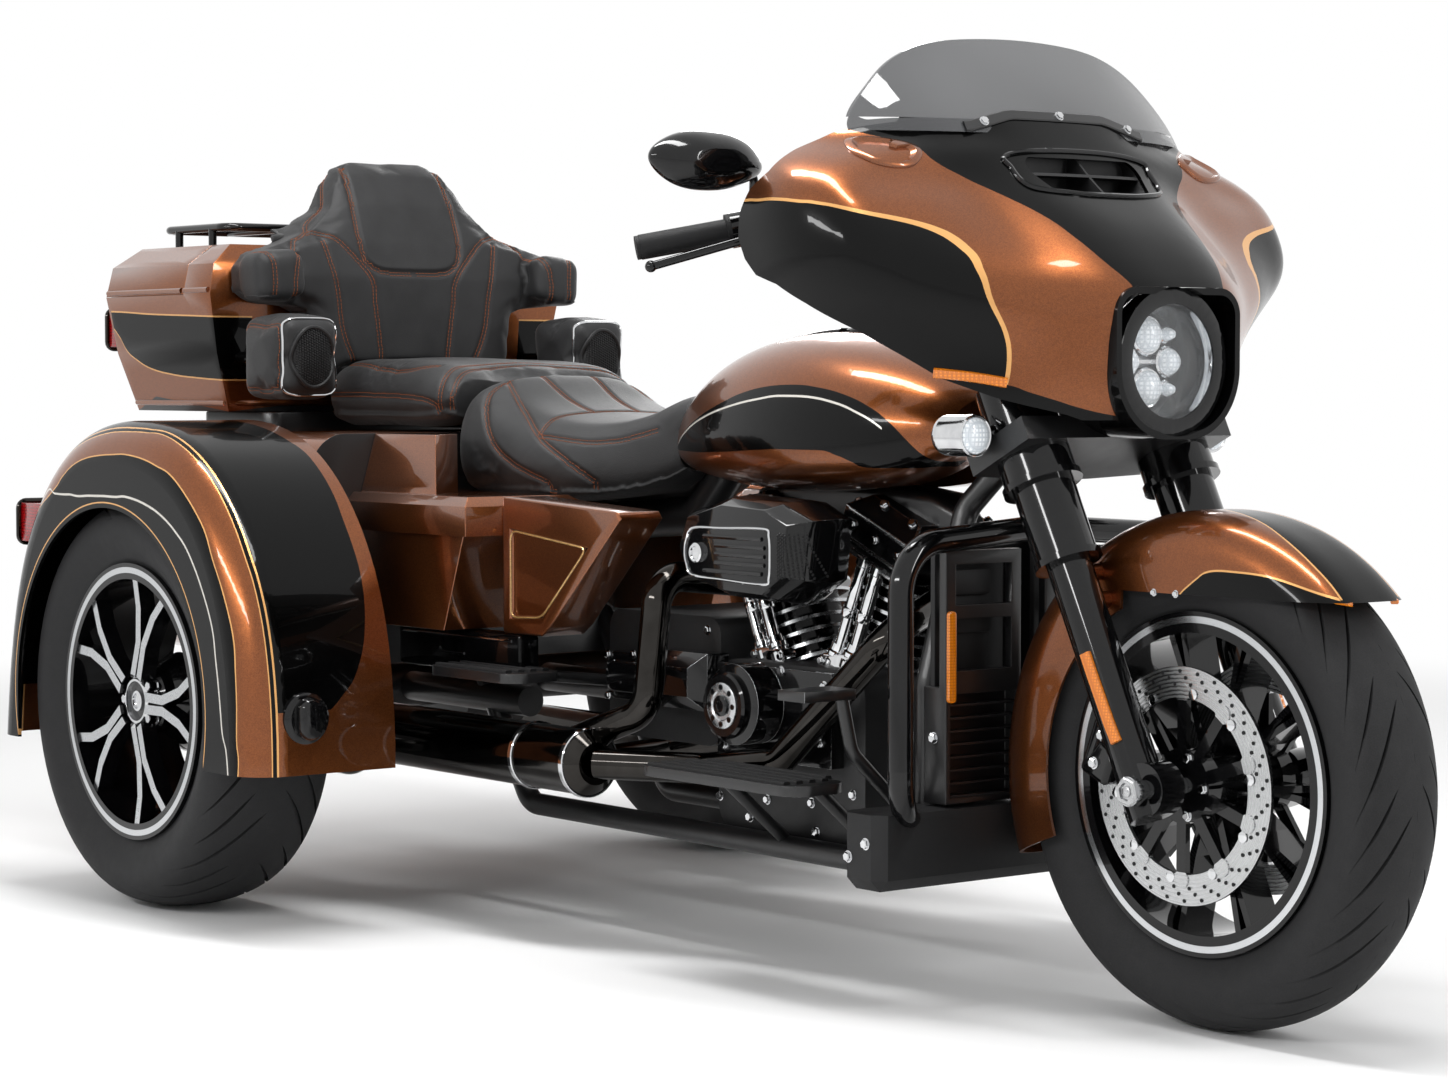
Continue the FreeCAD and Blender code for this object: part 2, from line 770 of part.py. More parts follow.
def nacelle():
    """Housing of the headlamp, open in front as a deep frame."""
    back_x = nacelle_front_x - nacelle_depth
    block = nacelle_block(0.0, back_x, nacelle_front_x)
    pocket = nacelle_block(nacelle_wall, nacelle_front_x - nacelle_depth / 2, nacelle_front_x + cut_overrun)
    bore = Part.makeCylinder(headlamp_radius + running_gap, 2 * nacelle_depth,
                             vec(back_x - nacelle_depth / 2, 0, headlamp_height), vec(1, 0, 0))
    return block.cut(pocket).cut(bore)


def vent_prism(margin):
    """Front view of the air intake under the windshield, as a long block."""
    points = [vec(vent_back_x, -vent_top_half_width - margin, vent_high + margin),
              vec(vent_back_x, vent_top_half_width + margin, vent_high + margin),
              vec(vent_back_x, vent_low_half_width + margin, vent_low - margin),
              vec(vent_back_x, -vent_low_half_width - margin, vent_low - margin)]
    block = plate(points, vec(fairing_depth, 0, 0))
    corners = [edge for edge in block.Edges if abs(edge.tangentAt(edge.FirstParameter).x) > 0.9]
    return block.makeFillet((vent_high - vent_low) / 3, corners)


def fairing():
    shell = fairing_body(0.0).cut(fairing_body(fairing_thickness))
    shell = shell.common(side_cutter())
    front = nacelle_front_x + fairing_depth
    shell = shell.cut(nacelle_block(-running_gap, nacelle_front_x - 2 * nacelle_depth, front))
    return shell.cut(vent_prism(0.0))


def fairing_vent():
    """Duct behind the air intake with a level bar and a post in it."""
    room = fairing_body(fairing_thickness + running_gap)
    duct = vent_prism(vent_wall).common(room)
    pocket = vent_prism(0.0)
    pocket.translate(vec(vent_wall, 0, 0))
    middle_z = (vent_low + vent_high) / 2
    bar = box(vent_back_x + vent_wall, nacelle_front_x, -vent_top_half_width - vent_wall,
              vent_top_half_width + vent_wall, middle_z - vent_wall / 4, middle_z + vent_wall / 4)
    post = box(vent_back_x + vent_wall, nacelle_front_x, -vent_wall / 4, vent_wall / 4, vent_low, vent_high)
    inside = vent_prism(vent_wall / 2).common(room)
    return joined([duct.cut(pocket), bar.common(inside), post.common(inside)])


def headlamp():
    """Lamp bowl with its trim ring."""
    ring = headlamp_radius - headlamp_lens_radius
    back = headlamp_front_x - headlamp_depth
    outline = [vec(back, 0, 0), vec(back, 0, headlamp_radius * 0.6),
               vec(headlamp_front_x - ring, 0, headlamp_radius),
               vec(headlamp_front_x, 0, headlamp_radius), vec(headlamp_front_x, 0, headlamp_lens_radius),
               vec(headlamp_front_x - ring, 0, headlamp_lens_radius),
               vec(back + ring, 0, headlamp_radius * 0.4), vec(back + ring, 0, 0)]
    face = Part.Face(Part.makePolygon(outline + [outline[0]]))
    bowl = face.revolve(vec(0, 0, 0), vec(1, 0, 0), 360)
    bowl.translate(vec(0, 0, headlamp_height))
    return bowl


def headlamp_lens():
    ring = headlamp_radius - headlamp_lens_radius
    lens = Part.makeCylinder(headlamp_lens_radius - running_gap, fairing_thickness,
                             vec(headlamp_front_x - ring, 0, headlamp_height), vec(1, 0, 0))
    return lens


def windshield_curve(back, inset, z):
    """Plan curve of the screen at one height, set back from the base curve."""
    half_shares = ((0.0, 0.0), (0.06, 0.3), (0.3, 0.62), (0.68, 0.86), (1.0, 1.0))
    half = windshield_half_width - inset
    front = windshield_base_x - back - inset
    left = [vec(front - u * windshield_sweep, v * half, z) for u, v in half_shares]
    right = [vec(point.x, -point.y, z) for point in reversed(left[1:])]
    return right + left


def windshield():
    """Swept back screen that follows the top of the fairing, with an arched top edge."""
    height = windshield_top - windshield_base_z
    wires = []
    for share, lean_share in ((0.0, -0.1), (0.35, 0.24), (0.7, 0.64), (1.04, 1.04)):
        z = windshield_base_z + share * height
        outer = windshield_curve(lean_share * windshield_lean, 0.0, z)
        inner = windshield_curve(lean_share * windshield_lean, windshield_thickness, z)
        edges = [open_curve(outer), Part.LineSegment(outer[-1], inner[-1]).toShape(),
                 open_curve(inner), Part.LineSegment(inner[0], outer[0]).toShape()]
        wires.append(Part.Wire(Part.__sortEdges__(edges)))
    screen = Part.makeLoft(wires, True, False)
    half_shares = ((1.0, -0.05), (0.975, 0.14), (0.88, 0.4), (0.74, 0.68), (0.52, 0.9), (0.26, 0.98))
    top_shares = [(-u, v) for u, v in half_shares] + [(0.0, 1.0)] + list(reversed(half_shares))
    points = [vec(0, u * windshield_half_width, windshield_base_z + v * height) for u, v in top_shares]
    edges = [open_curve(points), Part.LineSegment(points[-1], points[0]).toShape()]
    front_view = Part.Face(Part.Wire(edges)).extrude(vec(2 * windshield_base_x, 0, 0))
    return screen.common(front_view).cut(fairing_body(-running_gap))


def dash():
    """Inner fairing panel that faces the rider."""
    high = fairing_high - fairing_thickness
    slab = box(dash_x - dash_thickness, dash_x, -fairing_half_width, fairing_half_width, high - dash_height,
               high)
    return fairing_body(fairing_thickness + running_gap).common(slab).common(side_cutter())


def handlebar():
    """Bar from grip to grip with a pair of risers on the upper clamp."""
    foot = raked_point(0, 0, upper_clamp_height + clamp_thickness)
    rise = vec(foot.x + bar_radius, 0, foot.z + 3 * bar_radius)
    half_clamp = fork_half_spacing * 0.8
    inner = vec(bar_end_x + (bar_end_y - grip_length * 0.85) * 0.35, -bar_end_y + grip_length * 1.6,
                bar_end_z + grip_length * 0.35)
    end = vec(bar_end_x, -bar_end_y, bar_end_z)
    points = [vec(rise.x, 0, rise.z), vec(rise.x, -half_clamp, rise.z), inner, end]
    half = bent_tube(points, bar_radius, bar_bend_radius / 2)
    risers = []
    for side in (-1, 1):
        top = vec(rise.x, side * half_clamp / 2, rise.z)
        base = raked_point(0, side * half_clamp / 2, upper_clamp_height + clamp_thickness)
        risers.append(rod(base, top, bar_radius * 1.3))
    return joined([half, mirrored(half)] + risers).cut(triple_clamp())


def grip_line():
    end = vec(bar_end_x, -bar_end_y, bar_end_z)
    inner = vec(bar_end_x + (bar_end_y - grip_length * 0.85) * 0.35, -bar_end_y + grip_length * 1.6,
                bar_end_z + grip_length * 0.35)
    return end, inner.sub(end).normalize()


def grips():
    end, way = grip_line()
    sleeve = Part.makeCylinder(grip_radius, grip_length, end, way)
    flange = Part.makeCylinder(grip_radius * 1.35, grip_radius / 3,
                               end.add(vec(*way).multiply(grip_length)), way)
    cap = Part.makeCylinder(grip_radius * 0.95, grip_radius / 3,
                            end.sub(vec(*way).multiply(grip_radius / 3)), way)
    bore = Part.makeCylinder(bar_radius, 2 * grip_length, end, way)
    return both_sides(joined([sleeve, flange]).cut(bore).fuse(cap))


def switches_and_levers():
    """Switch housing inboard of each grip, with a lever that drops ahead of the grip to its ball end."""
    end, way = grip_line()
    base = end.add(vec(*way).multiply(grip_length + grip_radius / 3))
    housing = Part.makeCylinder(switch_radius, switch_length, base, way)
    bore = Part.makeCylinder(bar_radius, 2 * switch_length, base, way)
    pivot = base.add(vec(*way).multiply(switch_length / 2)).add(vec(switch_radius / 2, 0, -lever_radius))
    tip = end.add(vec(switch_radius, 0, -lever_drop))
    knee = pivot.add(vec(switch_radius, 0, -lever_radius)).sub(vec(*way).multiply(switch_length / 2))
    lever = bent_tube([pivot, knee, tip], lever_radius, lever_bend)
    ball = Part.makeSphere(lever_ball_radius, tip)
    return both_sides(joined([housing, lever, ball]).cut(bore))


def mirrors():
    """Teardrop shells on short stems that rise from the switch housings."""
    half = mirror_length / 2
    outline_shares = ((-0.5, 0.0), (-0.36, 0.34), (0.0, 0.5), (0.34, 0.38), (0.5, 0.05), (0.36, -0.32),
                      (0.0, -0.5), (-0.34, -0.36))
    sections = []
    for depth_share, size_share in ((-0.5, 0.9), (-0.2, 1.0), (0.2, 0.82), (0.5, 0.35)):
        points = [vec(mirror_x + depth_share * mirror_depth, -mirror_y - u * size_share * mirror_length,
                      mirror_z + v * size_share * mirror_height) for u, v in outline_shares]
        sections.append(closed_curve(points))
    shell = Part.makeLoft(sections, True, False)
    end, way = grip_line()
    foot = end.add(vec(*way).multiply(grip_length + switch_length * 0.6)).add(vec(0, 0,
                                                                                  switch_radius - stem_sink))
    elbow = vec((foot.x + mirror_x) / 2 + mirror_stem_radius, -mirror_y + half * 0.9,
                mirror_z - mirror_height * 0.2)
    stem = bent_tube([foot, elbow, vec(mirror_x, -mirror_y, mirror_z)], mirror_stem_radius,
                     mirror_stem_radius * 3)
    return both_sides(joined([shell, stem]).cut(switches_and_levers()))


def passing_lamps():
    front = vec(passing_lamp_x, -passing_lamp_y, passing_lamp_z)
    back = vec(passing_lamp_x - passing_lamp_depth, -passing_lamp_y, passing_lamp_z)
    bowl = rod(back, front, passing_lamp_radius)
    bowl = bowl.makeFillet(passing_lamp_radius * 0.6, [edge for edge in bowl.Edges
                                                       if abs(edge.CenterOfMass.x - back.x) < running_gap])
    arm = rod(vec(back.x + passing_lamp_depth / 2, -fork_half_spacing - upper_shroud_radius * 0.6,
                  passing_lamp_z),
              vec(back.x + passing_lamp_depth / 2, -passing_lamp_y, passing_lamp_z), bar_radius)
    return both_sides(joined([bowl, arm])).cut(fork_tubes()).cut(triple_clamp())


def ring_section(x, half_width, low, high, top_share, corner_share):
    """Closed rounded section across the vehicle, narrower towards the top."""
    height = high - low
    half_shares = ((0.0, 0.0), (0.62, 0.0), (0.93, corner_share), (1.0, 0.42), (top_share, 0.82),
                   (top_share * 0.55, 0.97), (0.0, 1.0))
    right = [vec(x, -u * half_width, low + v * height) for u, v in half_shares]
    left = [vec(point.x, -point.y, point.z) for point in reversed(right[1:-1])]
    return closed_curve(right + left)


def fuel_tank():
    station_shares = ((0.0, 0.26, 0.2, 0.42), (0.1, 0.5, 0.1, 0.62), (0.24, 0.74, 0.04, 0.84),
                      (0.42, 0.92, 0.0, 0.98), (0.6, 1.0, 0.0, 1.0), (0.78, 0.97, 0.04, 0.93),
                      (0.92, 0.84, 0.14, 0.78), (1.0, 0.6, 0.28, 0.6))
    sections = []
    for along, width, low, high in station_shares:
        sections.append(ring_section(tank_rear_x + along * tank_length, width * tank_half_width,
                                     tank_low + low * tank_height, tank_low + high * tank_height, 0.78, 0.1))
    body = Part.makeLoft(sections, True, False)
    tunnel = box(tank_rear_x - cut_overrun, tank_rear_x + tank_length + cut_overrun, -tunnel_half_width,
                 tunnel_half_width, tank_low - tank_height, tank_low + tunnel_height)
    return body.cut(tunnel).cut(frame())


def along_cylinder(shape, side):
    """Moves a shape made round the Z axis to a cylinder of the engine, side 1 forward and -1 rearward."""
    placed = shape.copy()
    placed.rotate(vec(0, 0, 0), vec(0, 1, 0), side * vee_half_deg)
    placed.translate(vec(crank_x, 0, crank_z))
    return placed


def crankcase_box():
    return box(crank_x - crankcase_length / 2, crank_x + crankcase_length / 2, -crankcase_half_width,
               crankcase_half_width, crankcase_low, crankcase_low + crankcase_height)


def engine_block():
    case = crankcase_box()
    case = case.makeFillet(crankcase_half_width / 3, [edge for edge in case.Edges
                                                      if abs(edge.tangentAt(edge.FirstParameter).y) > 0.9])
    rear = crank_x - crankcase_length / 2
    gearbox = box(rear - gearbox_length, rear + cut_overrun, -gearbox_half_width, gearbox_half_width,
                  gearbox_low, gearbox_low + gearbox_height)
    gearbox = gearbox.makeFillet(gearbox_half_width / 4, [edge for edge in gearbox.Edges
                                                          if abs(edge.tangentAt(edge.FirstParameter).y) > 0.9])
    core = Part.makeCylinder(cylinder_core_radius, cylinder_foot, vec(0, 0, 0))
    return joined([case, gearbox, along_cylinder(core, 1), along_cylinder(core, -1)])


def cylinders():
    """Cylinder cores with their stacks of fins."""
    length = cylinder_head - cylinder_foot
    pieces = [Part.makeCylinder(cylinder_core_radius, length, vec(0, 0, cylinder_foot))]
    pitch = length / fin_count
    for index in range(fin_count):
        pieces.append(Part.makeCylinder(fin_radius, fin_thickness,
                                        vec(0, 0, cylinder_foot + (index + 0.5) * pitch)))
    barrel = joined(pieces)
    front = along_cylinder(barrel, 1)
    rear = along_cylinder(barrel, -1)
    middle = box(crank_x - fin_thickness / 2, crank_x + fin_thickness / 2, -2 * fin_radius, 2 * fin_radius,
                 crank_z, crank_z + 2 * cylinder_head)
    block = engine_block()
    return Part.makeCompound([front.cut(middle).cut(block).Solids[0], rear.cut(middle).cut(block).Solids[0]])


def rocker_covers():
    cover = box(-rocker_half_length, rocker_half_length, -rocker_half_width, rocker_half_width, cylinder_head,
                cylinder_head + rocker_height)
    upper = [edge for edge in cover.Edges if edge.CenterOfMass.z > cylinder_head + rocker_height * 0.6]
    cover = cover.makeChamfer(rocker_height * 0.3, upper)
    return Part.makeCompound([along_cylinder(cover, 1), along_cylinder(cover, -1)])


def pushrod_tubes():
    """Tubes from the cam chest to the heads, two on each cylinder."""
    tubes = []
    for side in (-1, 1):
        for offset in (-1, 1):
            tube = Part.makeCylinder(pushrod_radius, cylinder_head - cylinder_foot - 2 * running_gap,
                                     vec(offset * pushrod_radius * 1.6,
                                         -fin_radius - pushrod_radius - stem_sink,
                                         cylinder_foot + running_gap))
            tubes.append(along_cylinder(tube, side).cut(crankcase_box()))
    return Part.makeCompound(tubes)


def cam_cover():
    chest = box(crank_x - crankcase_length * 0.42, crank_x + crankcase_length * 0.36,
                -crankcase_half_width - cam_cover_depth / 2, -crankcase_half_width,
                cam_cover_z - cam_cover_radius * 1.4, cam_cover_z + cam_cover_radius * 0.9)
    lid = Part.makeCylinder(cam_cover_radius, cam_cover_depth,
                            vec(cam_cover_x, -crankcase_half_width - 1.5 * cam_cover_depth, cam_cover_z),
                            vec(0, 1, 0))
    return joined([chest, lid])


def gearbox_cover():
    outer = -gearbox_half_width - gearbox_cover_depth
    block = box(gearbox_cover_x - gearbox_cover_length / 2, gearbox_cover_x + gearbox_cover_length / 2, outer,
                -gearbox_half_width, gearbox_cover_z - gearbox_cover_height / 2,
                gearbox_cover_z + gearbox_cover_height / 2)
    edges = [edge for edge in block.Edges if abs(edge.CenterOfMass.y - outer) < running_gap]
    return block.makeChamfer(gearbox_cover_height / 4, edges).cut(crankcase_box())


def primary_cover():
    """Long cover on the left side of the engine."""
    half = primary_height / 2
    rear = Part.makeCylinder(half, primary_depth, vec(primary_x - primary_length / 2 + half,
                                                      crankcase_half_width,
                                                      primary_z + half * 0.3), vec(0, 1, 0))
    front = Part.makeCylinder(half * 0.9, primary_depth, vec(primary_x + primary_length / 2 - half,
                                                             crankcase_half_width, primary_z - half * 0.2),
                              vec(0, 1, 0))
    middle = box(primary_x - primary_length / 2 + half, primary_x + primary_length / 2 - half,
                 crankcase_half_width, crankcase_half_width + primary_depth, primary_z - half * 0.7,
                 primary_z + half * 0.7)
    return joined([rear, front, middle])


def air_cleaner():
    """Teardrop housing between the cylinder heads."""
    outline_shares = ((-0.5, 0.0), (-0.42, 0.34), (-0.1, 0.5), (0.3, 0.46), (0.5, 0.3), (0.46, -0.28),
                      (0.28, -0.5), (-0.1, -0.48), (-0.42, -0.32))
    sections = []
    for depth_share, size_share in ((0.0, 0.94), (0.3, 1.0), (0.75, 0.94), (1.0, 0.8)):
        points = [vec(air_cleaner_x + u * size_share * air_cleaner_length,
                      -air_cleaner_inner_y - depth_share * air_cleaner_depth,
                      air_cleaner_z + v * size_share * air_cleaner_height) for u, v in outline_shares]
        sections.append(Part.Wire(Part.makePolygon(points + [points[0]]).Edges))
    return Part.makeLoft(sections, True, True)


def air_cleaner_boss():
    return rod(vec(air_cleaner_x, -rocker_half_width, air_cleaner_z), vec(air_cleaner_x, -air_cleaner_inner_y,
                                                                         air_cleaner_z),
                                                                         air_cleaner_height / 4)


def head_port(side, ahead):
    """Centre of a head's exhaust port, ahead of the cylinder's axis."""
    angle = math.radians(side * vee_half_deg)
    height = cylinder_head - header_radius
    return vec(crank_x + height * math.sin(angle) + ahead * math.cos(angle), 0,
               crank_z + height * math.cos(angle) - ahead * math.sin(angle))


def exhaust_headers():
    """One pipe down in front of the front cylinder and one beside the rear cylinder, into the muffler."""
    front_port = head_port(1, fin_radius)
    first = [vec(front_port.x, 0, front_port.z), vec(front_port.x + header_radius * 3,
                                                     -crankcase_half_width - header_radius * 1.5,
                                                     front_port.z - header_radius * 1.5),
             vec(crank_x + cam_cover_radius, -crankcase_half_width - header_radius * 3,
                 muffler_z + header_radius),
             vec(muffler_front_x + crankcase_length * 0.42, -muffler_y + header_radius * 4, muffler_z),
             vec(muffler_front_x, -muffler_y, muffler_z)]
    rear_port = head_port(-1, -fin_radius)
    second = [vec(rear_port.x, 0, rear_port.z),
              vec(rear_port.x + header_radius, -muffler_y * 0.74, rear_port.z + header_radius),
              vec(rear_port.x + header_radius, -muffler_y * 0.82, muffler_z + muffler_radius * 1.6),
              vec(muffler_front_x - muffler_radius * 3, -muffler_y, muffler_z)]
    pipe_one = bent_tube(first, header_radius, header_bend / 2)
    pipe_two = bent_tube(second, header_radius, header_bend / 2)
    pipes = joined([pipe_one, pipe_two])
    for neighbour in (muffler_side(muffler_front_x), cylinders(), engine_block(), rocker_covers()):
        pipes = pipes.cut(neighbour)
    return pipes


def muffler_side(front_x):
    body = rod(vec(muffler_rear_x, -muffler_y, muffler_z), vec(front_x, -muffler_y, muffler_z),
               muffler_radius)
    body = body.makeChamfer(muffler_radius * 0.35, body.Edges[0:1] + body.Edges[2:3])
    tail = bent_tube([vec(muffler_rear_x + muffler_radius, -muffler_y, muffler_z),
                      vec(muffler_rear_x - muffler_radius, -muffler_y, tail_pipe_z),
                      vec(tail_pipe_rear_x, -muffler_y, tail_pipe_z)], tail_pipe_radius, muffler_radius)
    bore = rod(vec(tail_pipe_rear_x - cut_overrun, -muffler_y, tail_pipe_z),
               vec(tail_pipe_rear_x + muffler_radius, -muffler_y, tail_pipe_z), tail_pipe_radius * 0.8)
    tip = rod(vec(tail_pipe_rear_x, -muffler_y, tail_pipe_z),
              vec(tail_pipe_rear_x + tail_tip_length, -muffler_y, tail_pipe_z), tail_tip_radius)
    return joined([body, tail, tip]).cut(bore)


def mufflers():
    right = muffler_side(muffler_front_x)
    left_front_x = muffler_rear_x + muffler_radius * 6
    left = mirrored(muffler_side(left_front_x))
    low_z = muffler_z - header_radius
    crossover = bent_tube([vec(left_front_x - muffler_radius, muffler_y, muffler_z),
                           vec(left_front_x + muffler_radius, muffler_y - muffler_radius / 2, low_z),
                           vec(left_front_x + muffler_radius * 2, 0, low_z),
                           vec(left_front_x + muffler_radius * 4, -muffler_y, low_z)], header_radius,
                           header_bend / 2)
    return joined([right, left, crossover])


def frame():
    """Neck, backbone, cradle rails and the rails under the trunk."""
    neck_length = upper_clamp_height - lower_clamp_height - clamp_thickness - 2 * neck_gap
    neck = Part.makeCylinder(neck_radius, neck_length, vec(0, 0, lower_clamp_height + clamp_thickness + neck_gap))
    bore = Part.makeCylinder(stem_radius + running_gap, upper_clamp_height, vec(0, 0, lower_clamp_height / 2))
    neck = raked(neck)
    middle = raked_point(0, 0, (lower_clamp_height + upper_clamp_height + clamp_thickness) / 2)
    backbone = bent_tube([vec(middle.x, 0, middle.z), vec(middle.x - neck_radius * 6, 0, backbone_z),
                          vec(tank_rear_x + backbone_radius * 4, 0, backbone_z),
                          vec(tank_rear_x, 0, backbone_rear_z + backbone_radius),
                          vec(body_front_x, 0, backbone_rear_z)], backbone_radius, backbone_radius * 1.2)
    tubes = [neck, backbone]
    for side in (-1, 1):
        y = side * rail_half_spacing
        tubes.append(bent_tube([vec(middle.x, side * neck_radius / 2, middle.z - neck_radius),
                                vec(rail_front_x, y / 2, radiator_high + rail_radius * 3),
                                vec(rail_front_x, y, radiator_mid),
                                vec(rail_front_x, y, rail_z), vec(rail_rear_x, y, rail_z),
                                vec(body_front_x - rail_radius, y, step_low)], rail_radius,
                                down_tube_bend / 2))
        tubes.append(rod(vec(body_front_x - rail_radius, y, step_low),
                         vec(body_front_x - rail_radius, 0, backbone_rear_z), rail_radius))
    body_room = box(body_rear_x, body_front_x, -body_half_width, body_half_width, body_low, body_high)
    return joined(tubes).cut(raked(bore)).cut(body_room)


def engine_guard():
    """Tube hoop that runs across the front and down both sides."""
    points = [vec(guard_x - guard_radius, 0, guard_top_z),
              vec(guard_x, -guard_half_width, guard_top_z - guard_radius),
              vec(guard_x, -guard_half_width, guard_low_z),
              vec(rail_front_x, -rail_half_spacing - rail_radius / 2, guard_low_z - guard_radius * 2)]
    half = bent_tube(points, guard_radius, guard_bend)
    return joined([half, mirrored(half)]).cut(frame())


def radiators():
    """Upper frame with two windows above a slatted core on each side of the down tubes."""
    x_low = rail_front_x + rail_radius + running_gap
    x_high = x_low + radiator_thickness
    core = box(x_low, x_high, -radiator_outer_y, -radiator_inner_y, radiator_low, radiator_mid)
    opening = box(x_low + radiator_thickness / 2, x_high + cut_overrun,
                  -radiator_outer_y + slat_thickness * 3, -radiator_inner_y - slat_thickness * 3,
                  radiator_low + slat_thickness * 3, radiator_mid - slat_thickness * 3)
    core = core.cut(opening)
    pitch = (radiator_mid - radiator_low) / slat_count
    slats = [box(x_low, x_high - slat_thickness, -radiator_outer_y, -radiator_inner_y,
                 radiator_low + (index + 0.5) * pitch, radiator_low + (index + 0.5) * pitch + slat_thickness)
             for index in range(slat_count)]
    return both_sides(joined([core, window_plate()] + slats))


def window_plate():
    x_high = rail_front_x + rail_radius + running_gap + radiator_thickness
    x_low = x_high - board_thickness
    height = radiator_high - radiator_mid
    shape = box(x_low, x_high, -radiator_outer_y, -radiator_inner_y, radiator_mid, radiator_high)
    margin = slat_thickness * 6
    for low_share, high_share in ((0.12, 0.5), (0.6, 0.9)):
        shape = shape.cut(box(x_low - cut_overrun, x_high + cut_overrun, -radiator_outer_y + margin,
                              -radiator_inner_y - margin, radiator_mid + low_share * height,
                              radiator_mid + high_share * height))
    return shape


def lower_cover():
    shape = box(lower_cover_x, lower_cover_x + lower_cover_length, -lower_cover_half_width,
                lower_cover_half_width,
                lower_cover_low, lower_cover_high)
    edges = [edge for edge in shape.Edges if abs(edge.tangentAt(edge.FirstParameter).z) > 0.9
             or abs(edge.CenterOfMass.z - lower_cover_low) < running_gap]
    return shape.makeChamfer(lower_cover_length / 5, edges).cut(frame()).cut(engine_guard())


def rounded_board(centre_x, length, inner_y, outer_y, z):
    half = length / 2
    board = box(centre_x - half, centre_x + half, -outer_y, -inner_y, z - board_thickness, z)
    edges = [edge for edge in board.Edges if abs(edge.tangentAt(edge.FirstParameter).z) > 0.9]
    return board.makeFillet((outer_y - inner_y) / 3, edges)


def rider_footboards():
    board = rounded_board(rider_board_x, rider_board_length, rider_board_inner_y, rider_board_outer_y,
                          rider_board_z)
    arms = [rod(vec(rider_board_x + share * rider_board_length, -rider_board_inner_y - board_thickness,
                    rider_board_z - board_thickness / 2),
                vec(rider_board_x + share * rider_board_length, -rail_half_spacing, rail_z + rail_radius / 2),
                pedal_radius) for share in (-0.3, 0.3)]
    return both_sides(joined([board] + arms)).cut(frame())


def passenger_footboards():
    board = rounded_board(passenger_board_x, passenger_board_length, side_cover_outer_y - board_thickness * 2,
                          passenger_board_outer_y, passenger_board_z)
    arm_x = passenger_board_x + board_thickness * 3
    arm = rod(vec(arm_x, -side_cover_outer_y, passenger_board_z - board_thickness / 2),
              vec(arm_x, -gearbox_half_width + running_gap, passenger_board_z - board_thickness * 2),
              pedal_radius)
    return both_sides(joined([board, arm])).cut(engine_block()).cut(primary_cover())


def pedals():
    """Brake pedal on the right and heel and toe shifter on the left."""
    pad = box(pedal_x - board_thickness * 3, pedal_x + board_thickness,
              -rider_board_outer_y + board_thickness,
              -rider_board_inner_y, pedal_z - board_thickness, pedal_z)
    arm = bent_tube([vec(pedal_x, -rider_board_inner_y - board_thickness, pedal_z - board_thickness / 2),
                     vec(pedal_x + board_thickness, -rider_board_inner_y - board_thickness / 2,
                         pedal_z - board_thickness * 6),
                     vec(rail_front_x - rail_radius, -rail_half_spacing, rail_z + board_thickness * 4)],
                    pedal_radius, pedal_radius * 3)
    return both_sides(joined([pad, arm])).cut(frame()).cut(engine_guard()).cut(lower_cover())


def seat_loft(stations, rear_x, length, low, height, half_width, top_share):
    sections = []
    for along, width, base, top in stations:
        sections.append(ring_section(rear_x + along * length, width * half_width, low + base * height,
                                     low + top * height, top_share, 0.08))
    return Part.makeLoft(sections, True, False)


def rider_seat():
    """Deep bucket with a high bolster at the back and a narrow nose over the tank's tail."""
    station_shares = ((0.0, 0.9, 0.1, 0.88), (0.08, 0.98, 0.02, 1.0), (0.2, 1.0, 0.0, 0.84),
                      (0.38, 1.0, 0.0, 0.68),
                      (0.6, 0.88, 0.0, 0.62), (0.8, 0.62, 0.06, 0.72), (0.94, 0.46, 0.2, 0.86),
                      (1.0, 0.36, 0.36, 0.8))
    seat = seat_loft(station_shares, rider_seat_rear_x, rider_seat_length, rider_seat_low, rider_seat_height,
                     rider_seat_half_width, 0.86)
    return seat.cut(fuel_tank()).cut(frame())


def passenger_seat():
    station_shares = ((0.0, 0.8, 0.1, 0.9), (0.12, 0.96, 0.0, 0.96), (0.5, 1.0, 0.0, 0.96),
                      (0.85, 1.0, 0.0, 0.86),
                      (1.0, 0.92, 0.1, 0.7))
    seat = seat_loft(station_shares, pillion_rear_x, pillion_length, pillion_low, pillion_height,
                     pillion_half_width, 0.9)
    return seat.cut(body_outline(0.0, body_rear_x, body_front_x))


